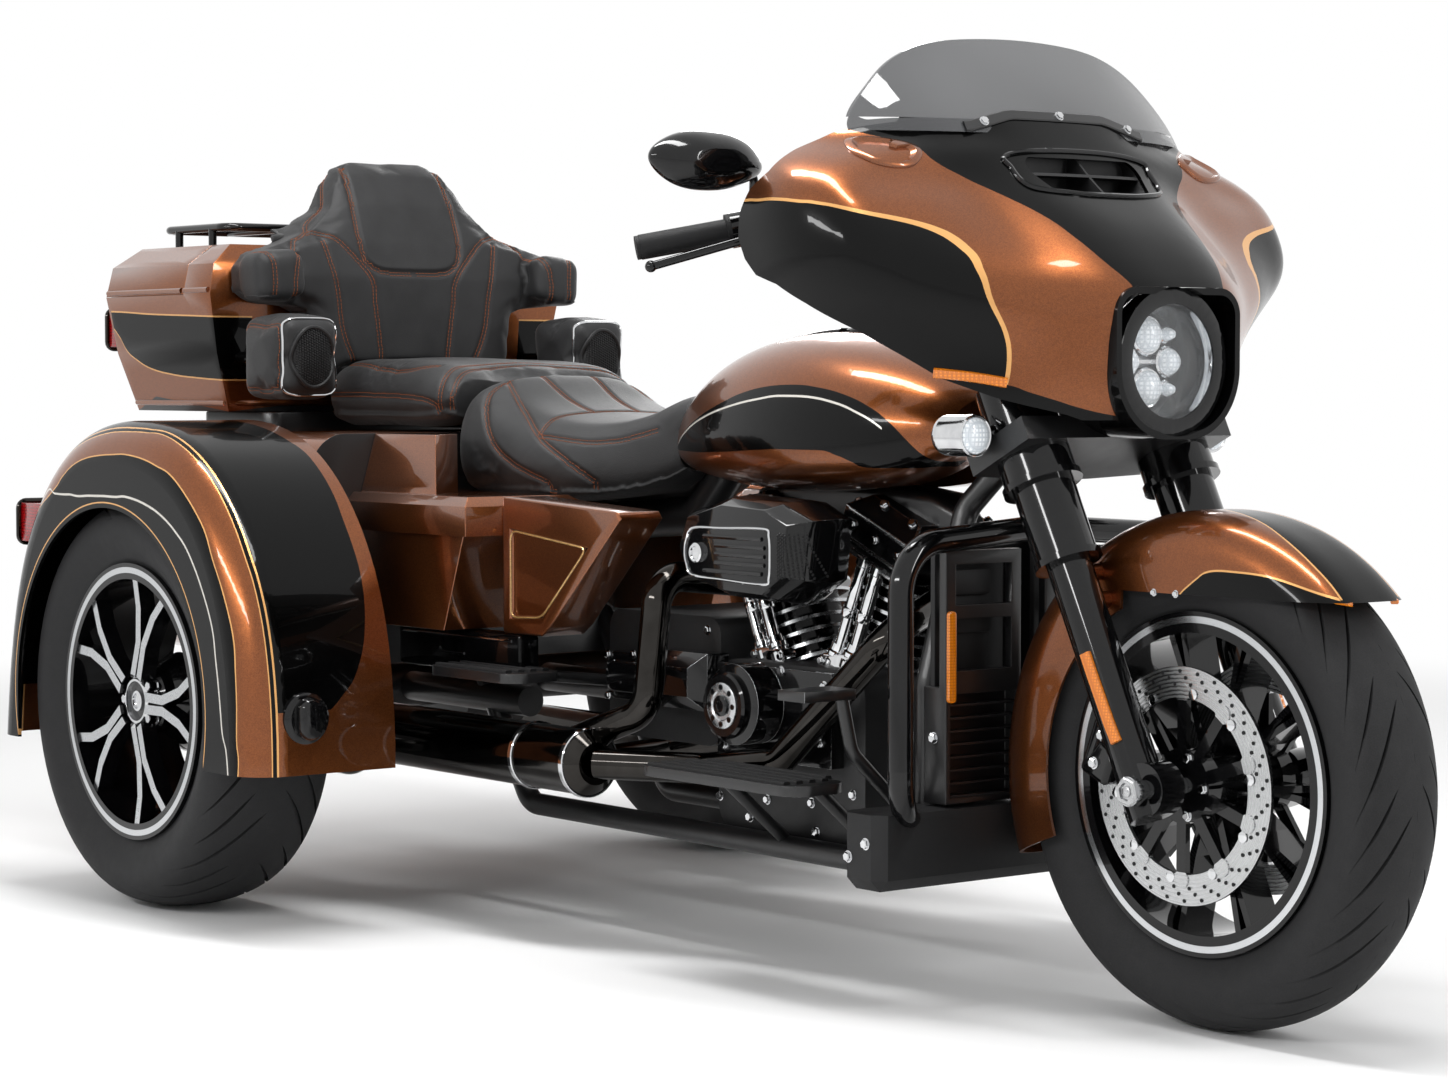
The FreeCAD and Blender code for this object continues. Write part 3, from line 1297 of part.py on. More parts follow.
def backrest():
    """Winged backrest with a head panel that leans back above the wings."""
    front_shares = ((0.0, 0.0), (0.6, 0.0), (0.64, 0.2), (0.67, 0.34), (0.9, 0.365), (1.0, 0.42), (1.0, 0.54),
                    (0.93, 0.6), (0.76, 0.645), (0.58, 0.7), (0.45, 0.79), (0.39, 0.88), (0.32, 0.955),
                    (0.22, 0.99),
                    (0.0, 1.0))
    height = backrest_high - backrest_low
    right = [vec(backrest_x - backrest_depth, -u * backrest_half_width, backrest_low + v * height)
             for u, v in front_shares]
    left = [vec(point.x, -point.y, point.z) for point in reversed(right[1:-1])]
    outline = plate(right + left, vec(3 * backrest_depth, 0, 0))
    side_shares = ((0.0, 0.0), (0.85, 0.0), (1.0, 0.12), (1.0, 0.48), (0.8, 0.62), (0.45, 0.78), (0.02, 0.92),
                   (-0.3, 0.985), (-0.5, 1.0), (-0.75, 0.97), (-0.85, 0.9), (-0.76, 0.76), (-0.64, 0.665),
                   (0.0, 0.645))
    points = spread(side_shares, backrest_x, backrest_low, backrest_depth, height, -backrest_half_width)
    panel = outline.common(plate(points, vec(0, 2 * backrest_half_width, 0)))
    wing = box(wing_rear_x, wing_rear_x + wing_length, -wing_half_width, -wing_inner_y, wing_low, wing_high)
    wings = both_sides(wing.makeFillet(wing_corner, wing.Edges))
    return joined([panel] + wings.Solids).cut(passenger_seat())


def speaker_pods():
    """Arm pods beside the passenger."""
    length = pod_length / 2
    height = pod_height / 2
    pod = box(pod_x - length, pod_x + length, -pod_outer_y, -pod_inner_y, pod_z - height, pod_z + height)
    return both_sides(pod.makeFillet(pod_height / 5, pod.Edges))


def body_outline(inset, x_low, x_high):
    low = body_low + inset
    high = body_high - inset
    half = body_half_width - inset
    block = box(x_low, x_high, -half, half, low, high)
    edges = [edge for edge in block.Edges if abs(edge.tangentAt(edge.FirstParameter).x) > 0.9]
    return block.makeFillet(body_corner - inset, edges)


def door_hinges(radius):
    """Two upright hinge barrels on the left edge of the doorway."""
    return [Part.makeCylinder(radius, hinge_length, vec(body_rear_x, door_half_width, z))
            for z in (door_low + hinge_inset, door_high - hinge_inset - hinge_length)]


def rear_body():
    """Hollow trunk between the fenders with a doorway at the back."""
    shell = body_outline(0.0, body_rear_x, body_front_x)
    hollow = body_outline(body_wall, body_rear_x + body_wall, body_front_x - body_wall)
    doorway = box(body_rear_x - cut_overrun, body_rear_x + 2 * body_wall, -door_half_width, door_half_width,
                  door_low,
                  door_high)
    shell = shell.cut(hollow).cut(doorway).cut(frame())
    return joined([shell] + door_hinges(hinge_radius))


def trunk_door():
    """Door panel that turns about the barrels on its left edge."""
    door = box(body_rear_x, body_rear_x + door_thickness, -door_half_width + door_gap,
               door_half_width - running_gap,
               door_low + door_gap, door_high - door_gap)
    for barrel in door_hinges(hinge_radius + running_gap):
        door = door.cut(barrel)
    return door


def body_steps():
    """Stepped side boxes under the seats: a tapered lower box, a lidded ledge and an upper tier."""
    rear_x = body_front_x + running_gap
    reach = step_front_x - rear_x
    lower_shares = ((0.0, 1.0), (0.92, 1.0), (0.76, 0.0), (0.0, 0.0))
    lower = spread(lower_shares, rear_x, step_low, reach, step_mid - step_low, -step_outer_y)
    lower_box = plate(lower, vec(0, step_outer_y - step_inner_y, 0))
    ledge = box(rear_x, step_front_x, -step_outer_y - step_ledge_width, -step_inner_y, step_mid, step_high)
    outer = -step_outer_y - step_ledge_width
    upper = [edge for edge in ledge.Edges if edge.CenterOfMass.z > step_high - running_gap]
    rim = [edge for edge in upper if edge.CenterOfMass.y < outer + running_gap
           or edge.CenterOfMass.x > step_front_x - running_gap]
    ledge = ledge.makeChamfer(step_ledge_width, rim)
    low_y = -step_outer_y + step_ledge_width
    high_y = low_y + step_top_inset
    sections = []
    for z, y, front_share in ((step_high, low_y, 0.637), (body_high, high_y, 0.516)):
        front = rear_x + front_share * reach
        corners = [vec(rear_x, y, z), vec(front, y, z), vec(front - step_nose_length, y + step_nose_width, z),
                   vec(rear_x, y + step_nose_width, z)]
        sections.append(Part.makePolygon(corners + [corners[0]]))
    tier = Part.makeLoft(sections, True, True)
    side = joined([lower_box, ledge, tier])
    return both_sides(side).cut(rider_seat()).cut(passenger_seat())


def side_covers():
    """Slanted panel in front of the side box, with a recessed field."""
    rear_x = step_front_x + running_gap
    length = side_cover_front_x - rear_x
    height = side_cover_high - side_cover_low
    outline_shares = ((0.0, 1.0), (0.97, 0.93), (1.0, 0.88), (0.42, 0.08), (0.34, 0.0), (0.0, 0.0))
    points = spread(outline_shares, rear_x, side_cover_low, length, height, -side_cover_outer_y)
    panel = plate(points, vec(0, side_cover_outer_y - side_cover_inner_y, 0))
    field_shares = ((0.07, 0.76), (0.72, 0.66), (0.34, 0.14), (0.07, 0.12))
    field = spread(field_shares, rear_x, side_cover_low, length, height, -side_cover_outer_y - cut_overrun)
    recess = plate(field, vec(0, cut_overrun + side_cover_recess, 0))
    return both_sides(panel.cut(recess).cut(rider_seat()))


def fender_outline(inset):
    """Side view of the rear fender as a closed outline."""
    length = fender_front_x - fender_rear_x
    height = fender_high - fender_low
    shares = ((1.0, 0.0), (0.99, 0.26), (0.954, 0.495), (0.87, 0.728), (0.738, 0.907), (0.5, 1.0),
              (0.33, 0.965),
              (0.2, 0.84), (0.105, 0.65), (0.037, 0.37), (0.0, 0.0))
    middle_x = (fender_front_x + fender_rear_x) / 2
    points = []
    for u, v in shares:
        x = fender_rear_x + u * length
        z = fender_low + v * height
        points.append(vec(x - inset * (x - middle_x) / (length / 2), fender_inner_y, z - inset * v))
    return points


def fender_block(inset, outer_y):
    points = fender_outline(inset)
    edges = [open_curve(points), Part.LineSegment(points[-1], points[0]).toShape()]
    block = Part.Face(Part.Wire(edges)).extrude(vec(0, outer_y - fender_inner_y, 0))
    rim = [edge for edge in block.Edges if edge.CenterOfMass.y > outer_y - running_gap
           and edge.CenterOfMass.z > fender_low + fender_shoulder]
    return block.makeFillet(fender_shoulder - inset, rim)


def fender():
    """Wide arched fender on the left side, open below and at the wheel arch."""
    shell = fender_block(0.0, fender_outer_y)
    hollow = fender_block(fender_thickness, fender_outer_y - fender_thickness)
    hollow.translate(vec(0, 0, -fender_thickness / 2))
    arch = Part.makeCylinder(arch_radius, fender_outer_y,
                             vec(front_axle_x - wheelbase, fender_inner_y + cut_overrun,
                                                              rear_tyre_radius), vec(0, 1, 0))
    legs = box(front_axle_x - wheelbase - arch_radius, front_axle_x - wheelbase + arch_radius,
               fender_inner_y + cut_overrun, 2 * fender_outer_y, 0, rear_tyre_radius)
    return shell.cut(hollow).cut(arch).cut(legs)


def rear_wheel():
    """Left rear tyre and rim about their own centre."""
    bead = rear_flange_half_width - rear_flange_width
    rubber = tyre(rear_barrel_radius + running_gap, bead, rear_flange_radius, rear_tyre_half_width,
                  rear_tyre_radius)
    barrel = rim_barrel(rear_barrel_radius, rear_barrel_wall, rear_flange_radius, rear_flange_half_width,
                        rear_flange_width)
    face_y = rear_flange_half_width
    hub_out = face_y - rear_hub_recess
    hub = turned_about_y([(0, hub_out - rear_hub_width), (rear_hub_radius * 1.4, hub_out - rear_hub_width),
                          (rear_hub_radius, hub_out - rear_hub_width / 2),
                          (rear_hub_radius, hub_out - rear_hub_recess),
                          (rear_hub_radius * 0.7, hub_out), (0, hub_out)])
    bore = Part.makeCylinder(rear_axle_radius + running_gap, rear_hub_width,
                             vec(0, hub_out - 1.5 * rear_hub_width, 0),
                             vec(0, 1, 0))
    reach = rear_barrel_radius - rear_barrel_wall
    half = rear_spoke_width / 2
    bend_shares = ((0.22, 0.0), (0.5, 0.9), (0.78, 0.7), (1.02, -0.3))
    spokes = []
    for index in range(rear_spoke_pairs):
        for side in (-1, 1):
            upper = [vec(u * reach, 0, half * (1 + 2.0 * v)) for u, v in bend_shares]
            lower = [vec(u * reach, 0, half * (2.0 * v - 1)) for u, v in reversed(bend_shares)]
            outline = [vec(p.x, face_y - rear_spoke_depth, side * p.z) for p in upper + lower]
            spoke = plate(outline, vec(0, rear_spoke_depth - rear_flange_width / 2, 0))
            spoke.rotate(vec(0, 0, 0), vec(0, 1, 0),
                         360 * index / rear_spoke_pairs + side * rear_spoke_spread_deg * 1.2)
            spokes.append(spoke)
    rim = joined([barrel, hub] + spokes).cut(bore)
    return rubber, rim


def placed_rear(shape, side):
    copy = shape.copy()
    if side < 0:
        copy = mirrored(copy)
    copy.translate(vec(front_axle_x - wheelbase, side * rear_track_half, rear_tyre_radius))
    return copy


def rear_axle():
    """Axle tube with a final drive case and a stub in each hub."""
    centre_x = front_axle_x - wheelbase
    tube = rod(vec(centre_x, -rear_axle_housing_half, rear_tyre_radius),
               vec(centre_x, rear_axle_housing_half, rear_tyre_radius), rear_axle_housing_radius)
    case = rod(vec(centre_x, -rear_drive_case_width / 2, rear_tyre_radius),
               vec(centre_x, rear_drive_case_width / 2, rear_tyre_radius), rear_drive_case_radius)
    hub_in = rear_track_half + rear_flange_half_width - rear_hub_recess - rear_hub_width
    stub_end = hub_in + rear_hub_width / 2 - neck_gap
    stub = rod(vec(centre_x, -stub_end, rear_tyre_radius), vec(centre_x, stub_end, rear_tyre_radius),
               rear_axle_radius)
    body_clear = body_outline(0.0, body_rear_x, body_front_x)
    return joined([tube, case, stub]).cut(body_clear)


def swing_arm():
    centre_x = front_axle_x - wheelbase
    arms = []
    for side in (-1, 1):
        y = side * rail_half_spacing
        front = vec(rail_rear_x, y, gearbox_low + rail_radius * 2)
        arms.append(rod(front, vec(centre_x + rear_axle_housing_radius, y, rear_tyre_radius),
                        rail_radius * 1.4))
    return Part.makeCompound(arms).cut(frame()).cut(body_outline(0.0, body_rear_x, body_front_x))


def tail_lamps():
    outer_y = fender_outer_y - fender_shoulder / 2
    lamp = box(tail_lamp_rear_x, tail_lamp_rear_x + 2 * tail_lamp_depth, outer_y - 2 * tail_lamp_half_width,
               outer_y,
               tail_lamp_z - tail_lamp_height / 2, tail_lamp_z + tail_lamp_height / 2)
    return both_sides(lamp.cut(fender_block(0.0, fender_outer_y)))


def case_block(inset, low, high):
    """Rounded luggage case between two heights, wider at its waist."""
    mid_z = case_split
    levels = ((case_low, 0.86), (case_low + (mid_z - case_low) * 0.5, 0.95), (mid_z, 1.0),
              (mid_z + (case_high - mid_z) * 0.6, 0.97), (case_high, 0.84))
    wires = []
    centre_x = (case_rear_x + case_front_x) / 2
    half_length = (case_front_x - case_rear_x) / 2
    for z, size in levels:
        if z == case_low:
            z = z + inset
        if z == case_high:
            z = z - inset
        corner = case_corner_share
        half_x = half_length * size - inset
        half_y = case_half_width * size - inset
        outline = [(-1.0, -corner), (-1.0, corner), (-corner, 1.0), (1.0, 1.0), (1.0, -1.0), (-corner, -1.0)]
        points = [vec(centre_x + u * half_x, v * half_y, z) for u, v in outline]
        wires.append(Part.makePolygon(points + [points[0]]))
    body = Part.makeLoft(wires, True, True)
    room = 2 * case_half_width
    window = box(case_rear_x - room, case_front_x + room, -room, room, low, high)
    return body.common(window)


def case_hinges(radius):
    """Two hinge barrels along the left edge of the case, where it splits."""
    rear = case_rear_x + 2 * hinge_inset
    front = lid_front_x - hinge_inset - hinge_length
    middle_y = case_half_width + hinge_radius / 2
    return [Part.makeCylinder(radius, hinge_length, vec(x, middle_y, case_split), vec(1, 0, 0))
            for x in (rear, front)]


def tour_pack_tub():
    """Hollow case below the lid with a fixed deck in front of it, its hinge barrels, mounts and arms."""
    room = 2 * case_half_width
    whole = case_block(0.0, case_low, case_high)
    low_part = case_block(0.0, case_low, case_split - case_gap / 2)
    deck = whole.common(box(lid_front_x + case_gap, case_front_x, -room, room, case_low, case_high))
    outer = low_part.fuse(deck).removeSplitter()
    inner = case_block(case_wall, case_low, case_high)
    mounts = []
    for x in (case_front_x - case_mount_inset, body_rear_x + case_mount_inset):
        for side in (-1, 1):
            foot = vec(x, side * case_mount_y, body_high)
            mounts.append(rod(foot, vec(x, side * case_mount_y, case_low), case_mount_radius))
    bracket = box(case_front_x - 2 * case_mount_radius, backrest_x, -backrest_mount_half_width,
                  backrest_mount_half_width,
                  backrest_mount_low, backrest_mount_high)
    pod_y = (pod_inner_y + pod_outer_y) / 2
    arm_start = case_front_x - case_mount_radius
    arm_end = pod_x - pod_length / 2 - running_gap
    arms = [rod(vec(arm_start, side * pod_y, pod_z), vec(arm_end, side * pod_y, pod_z), case_mount_radius / 2)
            for side in (-1, 1)]
    return joined([outer.cut(inner)] + mounts + [bracket] + arms + case_hinges(hinge_radius))


def tour_pack_lid():
    """Lid that swings up on its left edge, cut round the hinge barrels."""
    room = 2 * case_half_width
    outer = case_block(0.0, case_split + case_gap / 2, case_high)
    outer = outer.common(box(case_rear_x - room, lid_front_x, -room, room, case_low, case_high))
    lid = outer.cut(case_block(case_wall, case_low, case_high))
    for barrel in case_hinges(hinge_radius + running_gap):
        lid = lid.cut(barrel)
    return lid


def luggage_rack():
    """Rail round the top of the lid on four feet, with a raised loop at the back."""
    rear = case_rear_x + rack_end_inset
    front = lid_front_x - rack_front_inset
    side_y = case_half_width - rack_side_inset
    ring = bent_tube([vec(rear, 0, rack_z), vec(rear, side_y, rack_z), vec(front, side_y, rack_z),
                      vec(front, -side_y, rack_z), vec(rear, -side_y, rack_z),
                      vec(rear, -rack_radius, rack_z)],
                     rack_radius, rack_end_inset / 2)
    feet = []
    for x in (rear + rack_end_inset, front - rack_end_inset):
        for y in (-side_y, side_y):
            feet.append(rod(vec(x, y, case_high), vec(x, y, rack_z), rack_radius))
    slats = [rod(vec(rear, y, rack_z), vec(front, y, rack_z), rack_radius) for y in (-side_y / 2, side_y / 2)]
    return joined([ring] + feet + slats)


def case_lamps():
    """Red lamps on the rear corners of the case."""
    outer_y = -case_half_width * 0.95
    lamp = box(case_rear_x - case_lamp_stand, case_rear_x + case_lamp_sink, outer_y,
               outer_y + case_lamp_length,
               case_lamp_z - case_lamp_height / 2, case_lamp_z + case_lamp_height / 2)
    return both_sides(lamp).cut(case_block(0.0, case_low, case_high))


def main():
    os.makedirs("parts", exist_ok=True)
    front_rubber, front_rim = front_wheel()
    rear_rubber, rear_rim = rear_wheel()
    left_fender = fender()
    nodes = {
        "front_tyre": front_rubber,
        "front_rim": front_rim,
        "brake_discs": brake_discs(),
        "front_axle": front_axle(),
        "fork_tubes": fork_tubes(),
        "triple_clamp": triple_clamp(),
        "front_fender": front_fender(),
        "calipers": calipers(),
        "fairing": fairing(),
        "nacelle": nacelle(),
        "fairing_vent": fairing_vent(),
        "dash": dash(),
        "windshield": windshield(),
        "headlamp": headlamp(),
        "headlamp_lens": headlamp_lens(),
        "handlebar": handlebar(),
        "grips": grips(),
        "levers": switches_and_levers(),
        "mirrors": mirrors(),
        "passing_lamps": passing_lamps(),
        "frame": frame(),
        "engine_block": engine_block(),
        "cylinders": cylinders(),
        "rocker_covers": rocker_covers(),
        "pushrod_tubes": pushrod_tubes(),
        "engine_covers": Part.makeCompound([cam_cover(), gearbox_cover(), primary_cover()]),
        "air_cleaner": joined([air_cleaner(), air_cleaner_boss()]),
        "exhaust_headers": exhaust_headers(),
        "mufflers": mufflers(),
        "engine_guard": engine_guard(),
        "radiators": radiators(),
        "lower_cover": lower_cover(),
        "footboards": Part.makeCompound([rider_footboards(), passenger_footboards()]),
        "pedals": pedals(),
        "fuel_tank": fuel_tank(),
        "rider_seat": rider_seat(),
        "passenger_seat": passenger_seat(),
        "backrest": backrest(),
        "speaker_pods": speaker_pods(),
        "side_covers": side_covers(),
        "body_steps": body_steps(),
        "rear_body": rear_body(),
        "trunk_door": trunk_door(),
        "rear_fenders": both_sides(left_fender),
        "rear_axle": rear_axle(),
        "swing_arm": swing_arm(),
        "tail_lamps": Part.makeCompound([tail_lamps(), case_lamps()]),
        "rear_tyre_left": placed_rear(rear_rubber, 1),
        "rear_rim_left": placed_rear(rear_rim, 1),
        "rear_tyre_right": placed_rear(rear_rubber, -1),
        "rear_rim_right": placed_rear(rear_rim, -1),
        "tour_pack_tub": tour_pack_tub(),
        "tour_pack_lid": tour_pack_lid(),
        "luggage_rack": luggage_rack(),
    }
    for name, shape in nodes.items():
        shape.exportStep(os.path.join("parts", name + ".step"))
        print(name, len(shape.Solids), shape.isValid(), round(shape.Volume / 1000.0))


main()
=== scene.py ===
import bpy
import bmesh
import math
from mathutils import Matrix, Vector
from mathutils.kdtree import KDTree
from mathutils.bvhtree import BVHTree


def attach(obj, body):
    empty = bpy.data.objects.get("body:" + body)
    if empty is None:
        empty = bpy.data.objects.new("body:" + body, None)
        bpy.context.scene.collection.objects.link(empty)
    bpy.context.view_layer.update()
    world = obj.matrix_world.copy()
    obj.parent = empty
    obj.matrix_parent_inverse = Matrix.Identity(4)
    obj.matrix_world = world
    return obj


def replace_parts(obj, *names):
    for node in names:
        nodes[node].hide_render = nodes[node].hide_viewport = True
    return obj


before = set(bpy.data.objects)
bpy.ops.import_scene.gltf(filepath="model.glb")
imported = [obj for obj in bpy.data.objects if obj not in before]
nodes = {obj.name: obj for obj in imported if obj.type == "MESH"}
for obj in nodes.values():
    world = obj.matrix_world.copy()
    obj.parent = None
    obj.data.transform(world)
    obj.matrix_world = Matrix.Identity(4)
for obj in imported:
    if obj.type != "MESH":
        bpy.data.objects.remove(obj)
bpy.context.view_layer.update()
mm = 0.001
print("frame loaded")


def linear(hexText):
    channels = [int(hexText[i:i + 2], 16) / 255 for i in (1, 3, 5)]
    return [c / 12.92 if c <= 0.04045 else ((c + 0.055) / 1.055) ** 2.4 for c in channels] + [1.0]


def addNode(tree, kind, settings=None, links=None):
    node = tree.nodes.new(kind)
    for key, value in (settings or {}).items():
        if isinstance(key, int) or key in node.inputs:
            node.inputs[key].default_value = value
        else:
            setattr(node, key, value)
    for key, source in (links or {}).items():
        feed(source, node, key)
    return node


# A source is a node with the name of its outlet
def feed(source, node, socket):
    node.id_data.links.new(source[0].outputs[source[1]], node.inputs[socket])


def startMaterial(name, shaderSettings):
    material = bpy.data.materials.new(name)
    material.use_nodes = True
    tree = material.node_tree
    shader = tree.nodes["Principled BSDF"]
    for key, value in shaderSettings.items():
        shader.inputs[key].default_value = value
    return material, tree, shader, addNode(tree, "ShaderNodeTexCoord")


def perMm(size):
    return 1 / (size * mm)


# A finish in layers: one pattern tints it, one makes its gloss uneven and one raises it. A pattern is the kind
# of texture, its real size in mm, the outlet that is read and its other settings
def buildFinish(name, settings, tint, gloss=None, relief=None):
    material, tree, shader, place = startMaterial(name, settings)
    made = {}

    def layer(pattern):
        kind, sizeMm, outlet, extra = pattern
        if (kind, sizeMm) not in made:
            made[kind, sizeMm] = addNode(tree, "ShaderNodeTex" + kind, {"Scale": perMm(sizeMm), **extra},
                                         {"Vector": (place, "Object")})
        return made[kind, sizeMm], outlet

    pattern, *stops = tint
    ramp = addNode(tree, "ShaderNodeValToRGB", {}, {0: layer(pattern)})
    for element, (position, colour) in zip(ramp.color_ramp.elements, stops):
        element.position = position
        element.color = linear(colour)
    feed((ramp, "Color"), shader, "Base Color")
    if gloss:
        pattern, low, high = gloss
        sheen = addNode(tree, "ShaderNodeMapRange", {"To Min": low, "To Max": high}, {"Value": layer(pattern)})
        feed((sheen, "Result"), shader, "Roughness")
    if relief:
        pattern, strength, depthMm, socket, *upTo = relief
        height = layer(pattern)
        if upTo:
            height = addNode(tree, "ShaderNodeMapRange", {"From Max": upTo[0]}, {"Value": height}), "Result"
        bump = addNode(tree, "ShaderNodeBump", {"Strength": strength, "Distance": depthMm * mm}, {"Height": height})
        feed((bump, "Normal"), shader, socket)
    return material


# Metallic base coat: flakes under a clear lacquer, warm copper in the light and deep brown in the shade. The
# real flakes are near 0.05 mm and drawn coarser, so that they show as a fine grain
copperLook = {"metallic": 0.9, "roughness": 0.28, "lacquer": 0.8,
    "tint": (("Voronoi", 0.9, "Color", {}), (0.2, "#713F20"), (0.75, "#8A4F29")),
    "peel": (("Noise", 28, "Fac", {"Detail": 1.0}), 0.03, 0.4, "Coat Normal")}


# One pattern for plain finishes: grain tint, grain relief and uneven gloss
def grainedFinish(name, dark, light, grainMm, reliefMm, gloss, settings):
    grain = ("Noise", grainMm, "Fac", {"Detail": 4.0})
    smear = ("Noise", grainMm * 14, "Fac", {"Detail": 3.0})
    return buildFinish(name, settings, (grain, (0.3, dark), (0.7, light)), (smear, *gloss),
                       (grain, 0.5, reliefMm, "Normal"))


# Grinding marks as fine rings round the axle of the front wheel
discLook = {"colour": "#B9BABB", "centre": (1.024, 0, 0.316), "ringMm": 0.8, "roughness": 0.28}


def groundSteel(name):
    material, tree, shader, place = startMaterial(name, {"Metallic": 1.0, "Base Color": linear(discLook["colour"])})
    moved = addNode(tree, "ShaderNodeMapping", {"Location": [-c for c in discLook["centre"]]},
                    {"Vector": (place, "Object")})
    rings = addNode(tree, "ShaderNodeTexWave", {
        "wave_type": "RINGS", "rings_direction": "Y", "Scale": perMm(discLook["ringMm"]) / 20, "Distortion": 1.5,
        "Detail": 3.0, "Detail Scale": 2.0}, {"Vector": (moved, "Vector")})
    sheen = addNode(tree, "ShaderNodeMapRange", {
        "To Min": discLook["roughness"] * 0.7, "To Max": discLook["roughness"] * 1.3}, {"Value": (rings, "Fac")})
    feed((sheen, "Result"), shader, "Roughness")
    bump = addNode(tree, "ShaderNodeBump", {"Strength": 0.15, "Distance": 0.0001}, {"Height": (rings, "Fac")})
    feed((bump, "Normal"), shader, "Normal")
    return material


# Moulded lens with rows of small prisms under a smooth skin. The middle of each prism is painted lighter as a painted
# glint, and the lens gets a faint painted glow of its light tone through the emission
def prismLens(name, dark, light, prismMm, paintedGlow):
    prisms = ("Voronoi", prismMm, "Distance", {"feature": "F1", "distance": "CHEBYCHEV", "Randomness": 0.0})
    return buildFinish(name, {
        "Roughness": 0.12, "Coat Weight": 0.8, "Coat Roughness": 0.03, "Emission Strength": paintedGlow,
        "Emission Color": linear(light)}, (prisms, (0.1, light), (0.6, dark)), None, (prisms, 0.6, 0.5, "Normal"))


# Arithmetic on sources and numbers, taken together from left to right
def calc(operation, *values):
    tree = next(value[0].id_data for value in values if isinstance(value, tuple))
    result = values[0]
    for value in values[1:] or (0.0,):
        node = addNode(tree, "ShaderNodeMath", {"operation": operation})
        for index, part in enumerate((result, value)):
            if isinstance(part, tuple):
                feed(part, node, index)
            else:
                node.inputs[index].default_value = part
        result = node, "Value"
    return result


# A boundary read off a table of (place, height) pairs, in the units of the table
def tableCurve(value, table):
    places, heights = zip(*table)
    low, high = min(heights), max(heights)
    tree = value[0].id_data
    start = addNode(tree, "ShaderNodeMapRange", {"From Min": places[0], "From Max": places[-1]}, {"Value": value})
    curve = addNode(tree, "ShaderNodeFloatCurve", {}, {"Value": (start, "Result")})
    dots = curve.mapping.curves[0].points
    for place, height in table[1:-1]:
        dots.new((place - places[0]) / (places[-1] - places[0]), (height - low) / (high - low))
    dots[0].location = (0.0, (heights[0] - low) / (high - low))
    dots[len(dots) - 1].location = (1.0, (heights[-1] - low) / (high - low))
    for dot in dots:
        dot.handle_type = "AUTO_CLAMPED"
    curve.mapping.update()
    return addNode(tree, "ShaderNodeMapRange", {"To Min": low, "To Max": high}, {"Value": (curve, "Value")}), "Result"


def nearLine(value, boundary, widthMm):
    return calc("LESS_THAN", calc("ABSOLUTE", calc("SUBTRACT", value, boundary)), widthMm / 2)


# Place on the panel in mm: along, across, up, and the angle and radius seen from one side
def panelPlace(place, centre):
    split = addNode(place.id_data, "ShaderNodeSeparateXYZ", {}, {"Vector": (place, "Object")})
    along, across, up = [calc("MULTIPLY", (split, axis), 1000.0) for axis in "XYZ"]
    ahead, above = calc("SUBTRACT", along, centre[0]), calc("SUBTRACT", up, centre[1])
    angle = calc("MULTIPLY", calc("ARCTAN2", above, ahead), 180 / math.pi)
    radius = calc("SQRT", calc("ADD", calc("MULTIPLY", ahead, ahead), calc("MULTIPLY", above, above)))
    return along, calc("ABSOLUTE", across), up, angle, radius


# Tone, metallic share, roughness and lacquer of the coats laid over the copper
coats = [("#030303", 0.0, 0.2, 0.4), ("#E0A868", 0.5, 0.3, 0.6), ("#D8D4CC", 0.5, 0.3, 0.6)]  # black, gold, silver


# Copper and black lacquer in one coat, with thin gold and silver lines laid over the joins
def twoTone(name, fieldsOf, paint):
    material = buildFinish(name, {
        "Coat Weight": 0.8, "Coat Roughness": 0.03, "Coat IOR": 1.4, "Specular IOR Level": 0.05},
        copperLook["tint"], None, copperLook["peel"])
    tree = material.node_tree
    shader = tree.nodes["Principled BSDF"]
    masks = fieldsOf(*panelPlace(tree.nodes["Texture Coordinate"], paint["centre"]))
    colour = shader.inputs["Base Color"].links[0].from_node, "Color"
    amounts = [copperLook["metallic"], copperLook["roughness"], copperLook["lacquer"]]
    for mask, (tone, *coat) in zip(masks, coats):
        if mask is None:
            continue
        mix = addNode(tree, "ShaderNodeMix", {"data_type": "RGBA", 7: linear(tone)}, {"Factor": mask, 6: colour})
        colour = mix, 2
        for i, (before, after) in enumerate(zip(amounts, coat)):
            change = calc("SUBTRACT", after, before) if isinstance(before, tuple) else after - before
            amounts[i] = calc("ADD", before, calc("MULTIPLY", change, mask))
    for source, socket in zip([colour] + amounts, ("Base Color", "Metallic", "Roughness", "Coat Weight")):
        feed(source, shader, socket)
    return material


# Fairing: black wings edged in gold, a black hood in the middle and a black lip below
fairingPaint = {"centre": (640, 900), "lineMm": 4.0, "lineFromDeg": -22,
    "wing": [(-180, 300), (-60, 300), (-30, 216), (-20, 210), (-10, 207.5), (0, 208), (10, 208.5), (20, 204),
        (30, 195), (40, 186.5), (50, 177), (60, 168.5), (70, 161), (83, 156), (99, 160), (114.7, 175), (124, 196),
        (140, 300), (180, 300)],
    "hood": [(925, 0), (928, 74), (949, 84), (976, 101), (1005, 114), (1036, 130), (1063, 158), (1087, 195),
        (1110, 228), (1129, 240), (1140, 270), (1150, 300), (1170, 330)],
    "lip": [(760, 834), (778, 831), (817, 821), (836, 820), (854, 811), (873, 801), (889, 792), (940, 770)]}


